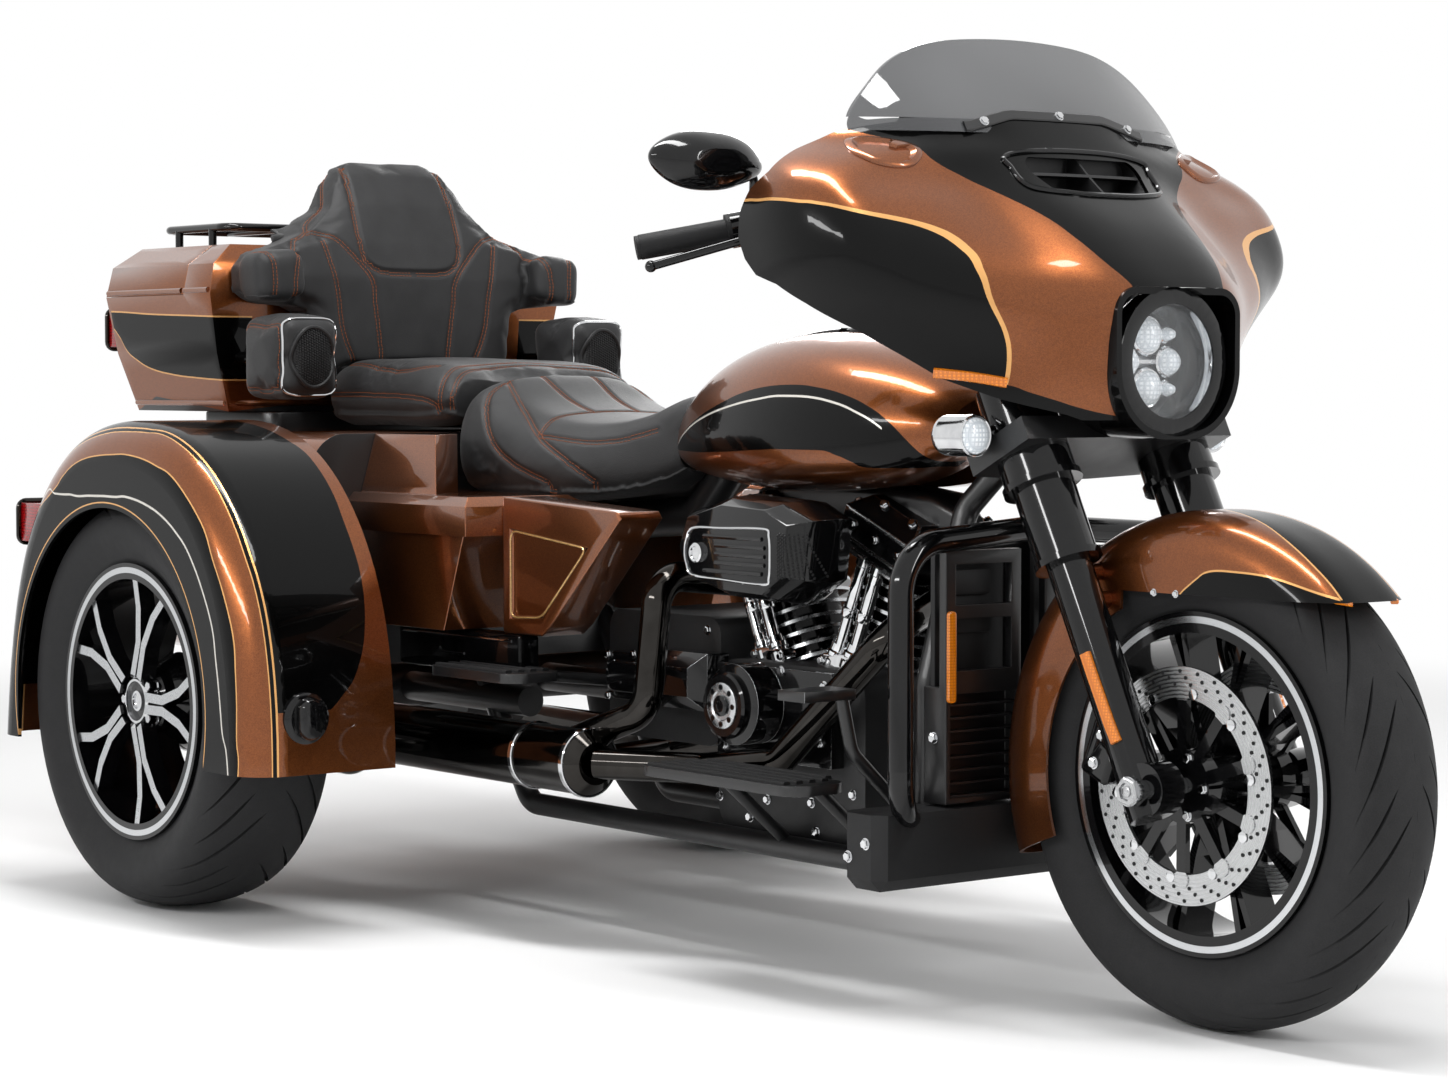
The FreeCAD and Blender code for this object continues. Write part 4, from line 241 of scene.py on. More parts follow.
def fairingFields(along, across, up, angle, radius):
    wingEdge = tableCurve(angle, fairingPaint["wing"])
    wing = calc("LESS_THAN", radius, wingEdge)
    hood = calc("LESS_THAN", across, tableCurve(up, fairingPaint["hood"]))
    lip = calc("LESS_THAN", up, tableCurve(along, fairingPaint["lip"]))
    gold = nearLine(radius, wingEdge, fairingPaint["lineMm"])
    return calc("MAXIMUM", wing, hood, lip), calc(
        "MULTIPLY", gold, calc("GREATER_THAN", angle, fairingPaint["lineFromDeg"])), None


# Rear fenders: black outer face with a silver and a gold line, a copper band, then black and copper again
fenderPaint = {"centre": (-706, 325), "archMm": 311, "edgeMm": 655, "crownFromDeg": 2.0,
    "face": [(-20, 414), (-8, 406), (0, 398), (8, 399), (21, 405), (32.7, 405), (45.4, 412), (56, 412), (67, 404),
        (80.5, 392), (92.3, 384), (102.2, 383), (112.3, 375), (118.7, 368), (125, 372), (150, 400), (200, 430)],
    "silver": [(-20, 400), (-6.5, 374), (0, 358), (11.7, 354), (23.7, 360), (32.1, 359), (41.5, 359), (50.7, 354),
        (59, 347), (68.8, 337), (78.1, 329), (90, 321), (100, 325), (110, 341), (118, 363), (122, 380), (200, 380)],
    "top": [(-20, 629), (14.7, 628), (27, 629), (36, 631), (48, 631), (60, 632), (70, 633), (78, 641), (90, 648),
        (110, 652), (140, 650), (200, 640)],
    "inner": [(0, 560), (4, 520), (11, 481), (18.5, 464), (26, 456), (31.3, 454), (38, 454), (47.4, 450),
        (57.3, 449), (65.9, 457), (71, 461), (90, 470), (120, 470), (200, 470)]}


def fenderFields(along, across, up, angle, radius):
    face, top, inner, pale = [tableCurve(angle, fenderPaint[key]) for key in ("face", "top", "inner", "silver")]
    outside = calc("GREATER_THAN", across, fenderPaint["edgeMm"])
    outerFace = calc("MULTIPLY", outside, calc("LESS_THAN", radius, face))
    crown = calc("MULTIPLY", calc("LESS_THAN", across, top), calc("GREATER_THAN", across, inner),
                 calc("GREATER_THAN", angle, fenderPaint["crownFromDeg"]))
    shadow = nearLine(across, calc("ADD", top, 4.0), 6.0)
    rim = calc("MAXIMUM", nearLine(radius, face, 2.0), nearLine(radius, fenderPaint["archMm"], 2.2))
    gold = calc("MAXIMUM", nearLine(across, top, 3.0), nearLine(across, calc("ADD", top, 8.0), 1.6),
                calc("MULTIPLY", outside, rim))
    return calc("MAXIMUM", outerFace, crown, shadow), gold, calc("MULTIPLY", outside, nearLine(radius, pale, 3.6))


# Front fender: copper with a black top panel and a black band along the lower edge
frontFenderPaint = {"centre": (1024, 316), "fromDeg": 20.0, "toDeg": 92.0,
    "top": [(30, 58), (49, 50), (57, 49), (66, 44), (73, 36), (79, 29), (86, 20), (92, 4), (100, 0)],
    "band": [(20, 350), (43, 350), (46, 342), (52.3, 326), (60.8, 309), (70.3, 291), (80.8, 275), (84, 264),
        (88, 250), (95, 230), (120, 215)]}


def frontFenderFields(along, across, up, angle, radius):
    top, band = [tableCurve(angle, frontFenderPaint[key]) for key in ("top", "band")]
    ahead = calc("MULTIPLY", calc("LESS_THAN", angle, frontFenderPaint["toDeg"]),
                 calc("GREATER_THAN", angle, frontFenderPaint["fromDeg"]))
    black = calc("MAXIMUM", calc("LESS_THAN", across, top), calc("LESS_THAN", radius, band))
    edge = calc("MULTIPLY", calc("GREATER_THAN", across, calc("ADD", top, 2.0)), nearLine(radius, band, 2.6))
    crownLine = calc("MULTIPLY", nearLine(across, top, 2.4), calc("GREATER_THAN", radius, band))
    return calc("MULTIPLY", ahead, black), calc("MULTIPLY", ahead, calc("MAXIMUM", crownLine, edge)), None


# Tank: a black teardrop on each side with a pale line inside its upper edge
tankPaint = {"centre": (280, 760), "fromY": 60.0, "paleFrom": -10.0, "paleTo": 545.0, "lineMm": 3.0,
    "top": [(-60, 700), (-30, 722), (50, 755), (110, 774), (176, 792), (246, 809), (308, 817.5), (365, 819.5),
        (419, 815.5), (471, 806), (521, 789), (551, 772), (574, 752), (600, 716), (640, 660)],
    "low": [(-60, 724), (-30, 722), (93, 721), (187, 723), (297, 728), (357, 730), (427, 730), (464, 724),
        (491, 715), (520, 707), (560, 707), (600, 716), (640, 740)],
    "pale": [(-60, 700), (-20, 727), (50, 752), (120, 771), (200, 787), (285, 799), (344, 804), (400, 803),
        (452, 796), (501, 782), (540, 764), (565, 742), (640, 700)]}


def tankFields(along, across, up, angle, radius):
    top, low, pale = [tableCurve(along, tankPaint[key]) for key in ("top", "low", "pale")]
    black = calc("MULTIPLY", calc("LESS_THAN", up, top), calc("GREATER_THAN", up, low),
                 calc("GREATER_THAN", across, tankPaint["fromY"]))
    return black, None, calc(
        "MULTIPLY", black, calc("GREATER_THAN", along, tankPaint["paleFrom"]),
        calc("LESS_THAN", along, tankPaint["paleTo"]), nearLine(up, pale, tankPaint["lineMm"]))


# Case: a black panel low on each side, edged in gold
casePaint = {"centre": (-1130, 880), "fromY": 270.0, "fromX": -1300.0, "lineMm": 2.6,
    "top": [(-1320, 944), (-1260, 942), (-1160, 937), (-1000, 932), (-940, 930)],
    "low": [(-1320, 930), (-1285, 900), (-1263, 873), (-1238, 859), (-1200, 845), (-1126, 834), (-1036, 828),
        (-940, 824)]}


def caseFields(along, across, up, angle, radius):
    top, low = [tableCurve(along, casePaint[key]) for key in ("top", "low")]
    side = calc("MULTIPLY", calc("GREATER_THAN", across, casePaint["fromY"]),
                calc("GREATER_THAN", along, casePaint["fromX"]))
    black = calc("MULTIPLY", calc("LESS_THAN", up, top), calc("GREATER_THAN", up, low))
    gold = calc("MAXIMUM", *[nearLine(up, edge, casePaint["lineMm"]) for edge in (top, low)])
    return calc("MULTIPLY", side, black), calc("MULTIPLY", side, gold), None


leatherTone = ("Noise", 55, "Fac", {"Detail": 4.0})
looks = {
    "copper": buildFinish("copper_base_coat_lacquered", {
        "Metallic": copperLook["metallic"], "Roughness": copperLook["roughness"], "Coat Weight": 1.0,
        "Coat Roughness": 0.03, "Coat IOR": 1.5}, copperLook["tint"], None, copperLook["peel"]),
    "fairingPaint": twoTone("fairing_two_tone_lacquered", fairingFields, fairingPaint),
    "fenderPaint": twoTone("rear_fender_two_tone_lacquered", fenderFields, fenderPaint),
    "frontFenderPaint": twoTone("front_fender_two_tone_lacquered", frontFenderFields, frontFenderPaint),
    "tankPaint": twoTone("tank_two_tone_lacquered", tankFields, tankPaint),
    "casePaint": twoTone("case_two_tone_lacquered", caseFields, casePaint),
    # Black enamel under lacquer: a deep wet black with soft edged reflections
    "black": buildFinish("black_enamel_lacquered", {
        "Roughness": 0.2, "Specular IOR Level": 0.05, "Coat Weight": 0.45, "Coat Roughness": 0.02, "Coat IOR": 1.4},
        (("Noise", 60, "Fac", {"Detail": 3.0}), (0.3, "#030303"), (0.7, "#070708")), None,
        (("Noise", 30, "Fac", {"Detail": 1.0}), 0.03, 0.4, "Coat Normal")),
    # Baked powder coat: an even satin black with a faint texture
    "powder": grainedFinish("black_powder_coat_baked", "#0D0D0E", "#151516", 1.6, 0.05, (0.32, 0.42), {
        "Coat Weight": 0.25, "Coat Roughness": 0.2}),
    # Wrinkle coat on castings: a coarse matte crinkle
    "wrinkle": grainedFinish("black_wrinkle_coat_cast", "#0B0B0C", "#19191A", 1.2, 0.22, (0.45, 0.6), {}),
    # Gloss black coat on the steering and engine parts: dark with sharp highlights
    "glossMetal": grainedFinish("black_gloss_powder_coat", "#060607", "#0C0C0D", 5.0, 0.01, (0.1, 0.16), {
        "Specular IOR Level": 0.1, "Coat Weight": 0.85, "Coat Roughness": 0.03, "Coat IOR": 1.4}),
    # Dark chrome: a smoky mirror
    "darkChrome": grainedFinish("black_chrome_plated", "#302E2C", "#3B3937", 30.0, 0.01, (0.06, 0.12), {
        "Metallic": 1.0}),
    # Bright chrome: a clean mirror
    "chrome": grainedFinish("bright_chrome_plated", "#C9CACC", "#DADBDC", 20.0, 0.01, (0.05, 0.1), {"Metallic": 1.0}),
    # Machined aluminium: bright with fine tool lines
    "machined": grainedFinish("aluminium_machined", "#A9ABAD", "#D0D2D4", 0.8, 0.03, (0.2, 0.32), {"Metallic": 1.0}),
    # Ground steel: a soft shine in rings
    "steelDisc": groundSteel("stainless_steel_ground"),
    # Moulded rubber: matte with a faint bloom
    "rubber": grainedFinish("black_rubber_moulded", "#111112", "#1B1B1C", 0.9, 0.08, (0.55, 0.7), {
        "Specular IOR Level": 0.3}),
    # Tyre rubber: dark grey, dull, with moulding grain
    "tyre": grainedFinish("tyre_rubber_vulcanised", "#1A1A1B", "#252526", 1.4, 0.12, (0.62, 0.78), {
        "Specular IOR Level": 0.3}),
    # Moulded plastic: flat black with a spark eroded texture
    "plastic": grainedFinish("black_plastic_textured", "#121213", "#1A1A1B", 0.7, 0.06, (0.5, 0.6), {
        "Specular IOR Level": 0.35}),
    # Full grain leather: pebbled cells with creases between them and a soft sheen
    "leather": buildFinish("black_leather_grained", {
        "Specular IOR Level": 0.35, "Sheen Weight": 0.08, "Sheen Roughness": 0.4},
        (leatherTone, (0.3, "#141415"), (0.7, "#232324")), (leatherTone, 0.42, 0.58),
        (("Voronoi", 2.2, "Distance", {"feature": "DISTANCE_TO_EDGE"}), 0.35, 0.35, "Normal", 0.18)),
    # Smoked acrylic sheet: dark grey that still lets the background through
    "smoke": buildFinish("smoked_acrylic_sheet", {
        "Roughness": 0.03, "IOR": 1.49, "Transmission Weight": 0.0, "Alpha": 0.72, "Coat Weight": 0.4},
        (("Noise", 180, "Fac", {"Detail": 1.0}), (0.2, "#3F4042"), (0.8, "#57585A"))),
    # Clear polycarbonate cover: nearly invisible, with a crisp gloss
    "clear": buildFinish("clear_polycarbonate_moulded", {
        "Roughness": 0.02, "IOR": 1.58, "Transmission Weight": 0.0, "Alpha": 0.07, "Coat Weight": 0.3},
        (("Noise", 40, "Fac", {}), (0.2, "#E8EEF2"), (0.8, "#FFFFFF"))),
    # Moulded glass bull's-eye with a pale cool tint, painted glints on its prisms and a faint painted glow
    "glassEye": prismLens("projector_glass_moulded", "#8E9BA6", "#F4F8FB", 6.0, 0.25),
    # Vacuum metallised bowl with small facets, painted lighter in the middle of each facet as painted glints, and with
    # a faint painted glow in place of being lit from within
    "bowl": prismLens("reflector_bowl_metallised", "#85898E", "#E4E8EB", 11.0, 0.3),
    # Red and amber acrylic: deep colour between prism tips painted bright as painted glints, with a faint painted glow
    "redLens": prismLens("red_lens_moulded", "#3A0204", "#A8080E", 5.0, 0.08),
    "amberLens": prismLens("amber_lens_moulded", "#A8500A", "#EE8A12", 4.0, 0.12),
    # Gold striping paint with a metallic glint
    "gold": grainedFinish("gold_stripe_paint", "#A9824A", "#D9B173", 2.0, 0.01, (0.25, 0.35), {
        "Metallic": 0.6, "Coat Weight": 0.8}),
    # Silver striping paint: pale and bright
    "silver": grainedFinish("silver_stripe_paint", "#B8B6B0", "#DCDAD4", 2.0, 0.01, (0.25, 0.35), {
        "Metallic": 0.5, "Coat Weight": 0.8}),
    # Waxed thread in copper brown, with a dull twist
    "thread": grainedFinish("copper_thread_twisted", "#7A3E1C", "#A85C2E", 0.6, 0.1, (0.5, 0.65), {
        "Specular IOR Level": 0.3}),
}

nodeLooks = {
    "tyre": "front_tyre rear_tyre_left rear_tyre_right",
    "glossMetal": "front_rim rear_rim_left rear_rim_right fork_tubes calipers headlamp handlebar levers mirrors "
                  "cylinders rocker_covers engine_covers air_cleaner engine_guard luggage_rack",
    "steelDisc": "brake_discs", "chrome": "front_axle passing_lamps pushrod_tubes",
    "powder": "triple_clamp frame radiators footboards pedals rear_axle swing_arm",
    "frontFenderPaint": "front_fender", "fairingPaint": "fairing", "tankPaint": "fuel_tank",
    "fenderPaint": "rear_fenders", "casePaint": "tour_pack_tub", "black": "nacelle",
    "copper": "side_covers body_steps rear_body trunk_door tour_pack_lid",
    "plastic": "fairing_vent dash lower_cover", "smoke": "windshield", "clear": "headlamp_lens", "rubber": "grips",
    "wrinkle": "engine_block", "darkChrome": "exhaust_headers mufflers", "redLens": "tail_lamps",
    "leather": "rider_seat passenger_seat backrest speaker_pods"}
for lookName, nodeNames in nodeLooks.items():
    for target in [nodes[nodeName] for nodeName in nodeNames.split()]:
        if not target.material_slots:
            target.data.materials.append(looks[lookName])
        for materialSlot in target.material_slots:
            materialSlot.material = looks[lookName]
print("materials on the carried-over nodes")


# Shapes are gathered in mm and turned into one piece at the end
class Shape:
    def __init__(self):
        self.points, self.faces = [], []

    def add(self, points, faces):
        start = len(self.points)
        self.points += [Vector(p) for p in points]
        self.faces += [[start + i for i in face] for face in faces]


xAxis, yAxis, zAxis, right, rearward, downward = (1, 0, 0), (0, 1, 0), (0, 0, 1), (0, -1, 0), (-1, 0, 0), (0, 0, -1)


def turns(count, shift=0.0):
    return [2 * math.pi * (k + shift) / count for k in range(count)]


# Rings of equal length joined by faces; caps close the first and the last ring
def addRings(shape, rings, caps=True, closedPath=False):
    count = len(rings[0])
    faces = []
    for i in range(len(rings) if closedPath else len(rings) - 1):
        for j in range(count):
            here, there, k = i * count, ((i + 1) % len(rings)) * count, (j + 1) % count
            faces.append((here + j, here + k, there + k, there + j))
    if caps and not closedPath:
        faces.append(tuple(range(count))[::-1])
        faces.append(tuple(range((len(rings) - 1) * count, len(rings) * count)))
    shape.add([p for ring in rings for p in ring], faces)


def addTube(shape, path, radius, sides=8, closed=False):
    path = [Vector(p) for p in path]
    count = len(path)
    rings, side = [], None
    for i, point in enumerate(path):
        ahead = path[(i + 1) % count] if closed or i < count - 1 else point
        behind = path[i - 1] if closed or i > 0 else point
        along = (ahead - behind).normalized()
        if side is None:
            side = along.orthogonal().normalized()
        side = (side - along * side.dot(along)).normalized()
        other = along.cross(side)
        rings.append([point + radius * (side * math.cos(t) + other * math.sin(t)) for t in turns(sides)])
    addRings(shape, rings, caps=not closed, closedPath=closed)


# Lathe work: pairs of (height along the axis, radius)
def addTurned(shape, origin, axis, profile, sides=32):
    axis = Vector(axis).normalized()
    side = axis.orthogonal().normalized()
    other = axis.cross(side)
    origin = Vector(origin)
    addRings(shape, [[origin + axis * height + radius * (side * math.cos(t) + other * math.sin(t))
                      for t in turns(sides)] for height, radius in profile], caps=profile[0] != profile[-1])


# Plate with rounded edges: the outline in the plane of two directions, raised along the third
def addPlate(shape, origin, across, up, outline, thickness, edge=1.0):
    across, up = Vector(across).normalized(), Vector(up).normalized()
    out = across.cross(up)
    middle = Vector([sum(p[axis] for p in outline) / len(outline) for axis in (0, 1)])
    rings = []
    for inset, height in ((0, 0), (0, thickness - edge), (edge * 0.3, thickness - edge * 0.3), (edge, thickness)):
        ring = []
        for i, p in enumerate(outline):
            p, before, after = Vector(p), Vector(outline[i - 1]), Vector(outline[(i + 1) % len(outline)])
            first, second = (p - before).normalized(), (after - p).normalized()
            normal = Vector((-(first.y + second.y), first.x + second.x))
            if normal.length > 0.001:
                normal.normalize()
                if normal.dot(middle - p) < 0:
                    normal = -normal
            q = p + normal * inset
            ring.append(Vector(origin) + across * q.x + up * q.y + out * height)
        rings.append(ring)
    addRings(shape, rings)


def roundedOutline(width, height, corner, steps=5):
    outline = []
    for cx, cy, start in ((1, 1, 0), (-1, 1, 90), (-1, -1, 180), (1, -1, 270)):
        for k in range(steps + 1):
            t = math.radians(start + 90 * k / steps)
            outline.append((cx * (width / 2 - corner) + corner * math.cos(t),
                            cy * (height / 2 - corner) + corner * math.sin(t)))
    return outline


# Plate whose outline is a rounded rectangle
def addPanel(shape, origin, across, up, width, height, corner, thickness, edge):
    addPlate(shape, origin, across, up, roundedOutline(width, height, corner), thickness, edge)


# Hexagon socket screws and nuts, seen as a bevelled head on a washer
def addScrew(shape, at, axis, radius, height=None):
    height = height or radius * 0.9
    addTurned(shape, at, axis, [(-0.5, radius * 1.25), (radius * 0.18, radius * 1.25), (radius * 0.2, radius)], 16)
    addTurned(shape, at, axis, [(0, radius), (height * 0.8, radius), (height, radius * 0.82)], 6)


def smoothPath(points, steps=6, closed=False):
    points = [Vector(p) for p in points]
    count, path = len(points), []
    for i in range(count if closed else count - 1):
        a, b = points[i], points[(i + 1) % count]
        before = points[i - 1] if closed or i else a
        after = points[(i + 2) % count] if closed or i + 2 < count else b
        for k in range(steps):
            t = k / steps
            path.append(0.5 * (2 * a + (b - before) * t + (2 * before - 5 * a + 4 * b - after) * t * t
                               + (3 * a - before - 3 * b + after) * t ** 3))
    return path if closed else path + [points[-1]]


def makePiece(shape, name, look, body="chassis", mirrored=False, sharpDeg=35):
    points = [p * mm for p in shape.points]
    faces = list(shape.faces)
    if mirrored:
        start = len(points)
        points += [Vector((p.x, -p.y, p.z)) for p in points]
        faces += [[start + i for i in reversed(face)] for face in shape.faces]
    mesh = bpy.data.meshes.new(name)
    mesh.from_pydata(points, [], faces)
    work = bmesh.new()
    work.from_mesh(mesh)
    bmesh.ops.remove_doubles(work, verts=work.verts, dist=0.00001)
    bmesh.ops.recalc_face_normals(work, faces=work.faces)
    work.to_mesh(mesh)
    work.free()
    mesh.shade_smooth()
    mesh.set_sharp_from_angle(angle=math.radians(sharpDeg))
    piece = bpy.data.objects.new(name, mesh)
    bpy.context.scene.collection.objects.link(piece)
    mesh.materials.append(looks[look])
    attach(piece, body)
    return piece


def meshTree(*nodeNames):
    points, faces = [], []
    for nodeName in nodeNames:
        node = nodes[nodeName] if isinstance(nodeName, str) else nodeName
        start = len(points)
        points += [node.matrix_world @ vertex.co / mm for vertex in node.data.vertices]
        faces += [[start + i for i in polygon.vertices] for polygon in node.data.polygons]
    return BVHTree.FromPolygons(points, faces)


# Points let down on a surface along one direction, with the normal of the place they land on
def drape(tree, points, direction, lift=0.0):
    direction = Vector(direction).normalized()
    found = []
    for point in points:
        place, normal, index, distance = tree.ray_cast(Vector(point) - direction * 400, direction, 900)
        if place is not None:
            if normal.dot(direction) > 0:
                normal = -normal
            found.append((place + normal * lift, normal))
    return found


def nearSurface(tree, points, lift=0.0):
    found = []
    for point in points:
        place, normal, index, distance = tree.find_nearest(Vector(point))
        found.append((place + normal * lift, normal))
    return found


def placesOf(pairs):
    return [place for place, normal in pairs]


# Screws where lines of sight along one direction meet a surface; they stand against that line or on the surface
def addScrewsOn(shape, tree, points, direction, radius, lift=0.5, square=False):
    for place, normal in drape(tree, points, direction, lift):
        addScrew(shape, place, normal if square else [-d for d in direction], radius)


# Second look on the faces of a carried-over node that pass a test of place and normal
def faceLook(nodeName, lookName, test):
    node = nodes[nodeName]
    node.data.materials.append(looks[lookName])
    slot = len(node.data.materials) - 1
    for polygon in node.data.polygons:
        if test(node.matrix_world @ polygon.center / mm, polygon.normal):
            polygon.material_index = slot


frontAxle, rearAxle = Vector((1024, 0, 316)), Vector((-706, 0, 325))


def reach(point, axle):
    return math.hypot(point.x - axle.x, point.z - axle.z)


# Spots on a circle round an upright wheel or cover, seen from the side
def circleSpots(centre, radius, count, shift=0.0):
    return [(centre[0] + radius * math.cos(t), centre[1], centre[2] + radius * math.sin(t))
            for t in turns(count, shift)]


# Black wheel lacquer cut back to bright metal between two radii of the lip
def lipLook(name, axle, low, high):
    material, tree, shader, place = startMaterial(name, {
        "Roughness": 0.16, "Specular IOR Level": 0.2, "Coat Weight": 0.4, "Coat IOR": 1.4})
    radius = panelPlace(place, axle)[-1]
    cut = calc("MULTIPLY", calc("GREATER_THAN", radius, low), calc("LESS_THAN", radius, high))
    tint = addNode(tree, "ShaderNodeMix", {"data_type": "RGBA", 6: linear("#070708"), 7: linear("#C6C8CA")},
                   {"Factor": cut})
    feed((tint, 2), shader, "Base Color")
    feed(cut, shader, "Metallic")
    grain = addNode(tree, "ShaderNodeTexNoise", {"Scale": perMm(1.0), "Detail": 2.0}, {"Vector": (place, "Object")})
    sheen = addNode(tree, "ShaderNodeMapRange", {"To Min": 0.14, "To Max": 0.26}, {"Value": (grain, "Fac")})
    feed((sheen, "Result"), shader, "Roughness")
    return material


looks["frontLip"] = lipLook("front_lip_machined", (1024, 316), 204.5, 213.0)
looks["rearLip"] = lipLook("rear_lip_machined", (-706, 325), 200.5, 209.5)
faceLook("front_rim", "frontLip", lambda c, n: abs(n.y) > 0.95 and abs(abs(c.y) - 53) < 1.5)
faceLook("brake_discs", "glossMetal", lambda c, n: reach(c, frontAxle) < 108)
for side in ("left", "right"):
    faceLook("rear_rim_" + side, "rearLip", lambda c, n: abs(n.y) > 0.95 and 632 < abs(c.y) < 636)
    faceLook("rear_rim_" + side, "machined", lambda c, n: abs(n.y) > 0.95 and 628 < abs(c.y) < 632)
# The bottom of the case is painted in black powder coat as painted shade, for the shadow under it
faceLook("tour_pack_tub", "powder", lambda c, n: c.z < 782)
faceLook("rear_body", "powder", lambda c, n: n.x > 0.9 and c.x > -520)
print("second looks on faces")

# Tyres: the ring of the node with curved grooves sunk in the crown, staggered from one side to the other
treads = {
    "front": {"node": "front_tyre", "body": "wheel_front", "axle": frontAxle, "middle": 0, "width": 8.5,
              "reach": 92, "radius": 316},
    "rearLeft": {"node": "rear_tyre_left", "body": "wheel_rear_left", "axle": rearAxle, "middle": 545,
                 "width": 9.0, "reach": 118, "radius": 325},
    "rearRight": {"node": "rear_tyre_right", "body": "wheel_rear_right", "axle": rearAxle, "middle": -545,
                  "width": 9.0, "reach": 118, "radius": 325}}
grooves = {"count": 28, "sweepDeg": -34, "depth": 6.0, "rows": 30, "sides": 144, "pivotBelow": 48, "wallFrom": 250}


def crossSection(tread):
    node, axle = nodes[tread["node"]], tread["axle"]
    found = {}
    for vertex in node.data.vertices:
        place = node.matrix_world @ vertex.co / mm
        found[(round(place.y - tread["middle"], 1), round(reach(place, axle), 1))] = True
    pivot = tread["radius"] - grooves["pivotBelow"]
    return sorted(found, key=lambda pair: math.atan2(pair[0], pair[1] - pivot))


def alongOutline(outline, distance):
    for a, b in zip(outline, outline[1:]):
        step = math.dist(a, b)
        if distance <= step:
            return (a[0] + (b[0] - a[0]) * distance / step, a[1] + (b[1] - a[1]) * distance / step)
        distance -= step
    return outline[-1]


def buildTyre(name, tread):
    section = crossSection(tread)
    crown, wallFrom = tread["radius"], grooves["wallFrom"]
    outline = [(0.0, crown)] + [p for p in section if p[0] > 0.4 and p[1] > wallFrom]
    shape = Shape()
    axle, middle = tread["axle"], tread["middle"]

    def spot(y, radius, degrees):
        t = math.radians(degrees)
        return Vector((axle.x + radius * math.cos(t), middle + y, axle.z + radius * math.sin(t)))

    def plainRing(y, radius):
        return [spot(y, radius, 360 * k / grooves["sides"]) for k in range(grooves["sides"])]

    pitch = 360 / grooves["count"]
    for side in (1, -1):
        rings = []
        for i in range(grooves["rows"] + 1):
            share = i / grooves["rows"]
            y, radius = alongOutline(outline, share * tread["reach"] + 0.01)
            ring = []
            for k in range(grooves["count"]):
                first, last = (0.1, 0.98) if k % 2 == 0 else (0.34, 0.9)
                inside = min(max((share - first) / (last - first), 0.0), 1.0)
                depth = grooves["depth"] * min(1.0, 6 * inside * (1 - inside))
                half = math.degrees((0.4 + tread["width"] / 2 * min(1.0, 4 * inside * (1 - inside))) / radius)
                wall = math.degrees(0.9 / radius)
                centre = grooves["sweepDeg"] * share ** 1.25 + pitch * (k + (0.5 if side > 0 else 0))
                for offset, sink in ((-half - wall, 0), (-half, 1), (half, 1), (half + wall, 0),
                                     (pitch * 0.35, 0), (pitch * 0.6, 0)):
                    ring.append(spot(side * y, radius - depth * sink, centre + offset))
            rings.append(ring)
        addRings(shape, rings, caps=False)
        # the plain side wall from the end of the grooves round to the bead
        wallLine, travelled = [alongOutline(outline, tread["reach"])], 0.0
        for a, b in zip(outline, outline[1:]):
            travelled += math.dist(a, b)
            if travelled > tread["reach"]:
                wallLine.append(b)
        wallLine += sorted([p for p in section if p[0] > 0 and p[1] <= wallFrom],
                           key=lambda p: math.atan2(p[0], p[1] - crown + grooves["pivotBelow"]))
        addRings(shape, [plainRing(side * y, radius) for y, radius in wallLine], caps=False)
    bore = min(p[1] for p in section)
    rims = sorted(p[0] for p in section if p[1] < bore + 1)
    addRings(shape, [plainRing(y, bore) for y in (rims[0], rims[-1])], caps=False)
    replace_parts(makePiece(shape, name, "tyre", tread["body"], sharpDeg=40), tread["node"])


for key, tread in treads.items():
    buildTyre("tyre_" + key, tread)
print("tyres with tread")


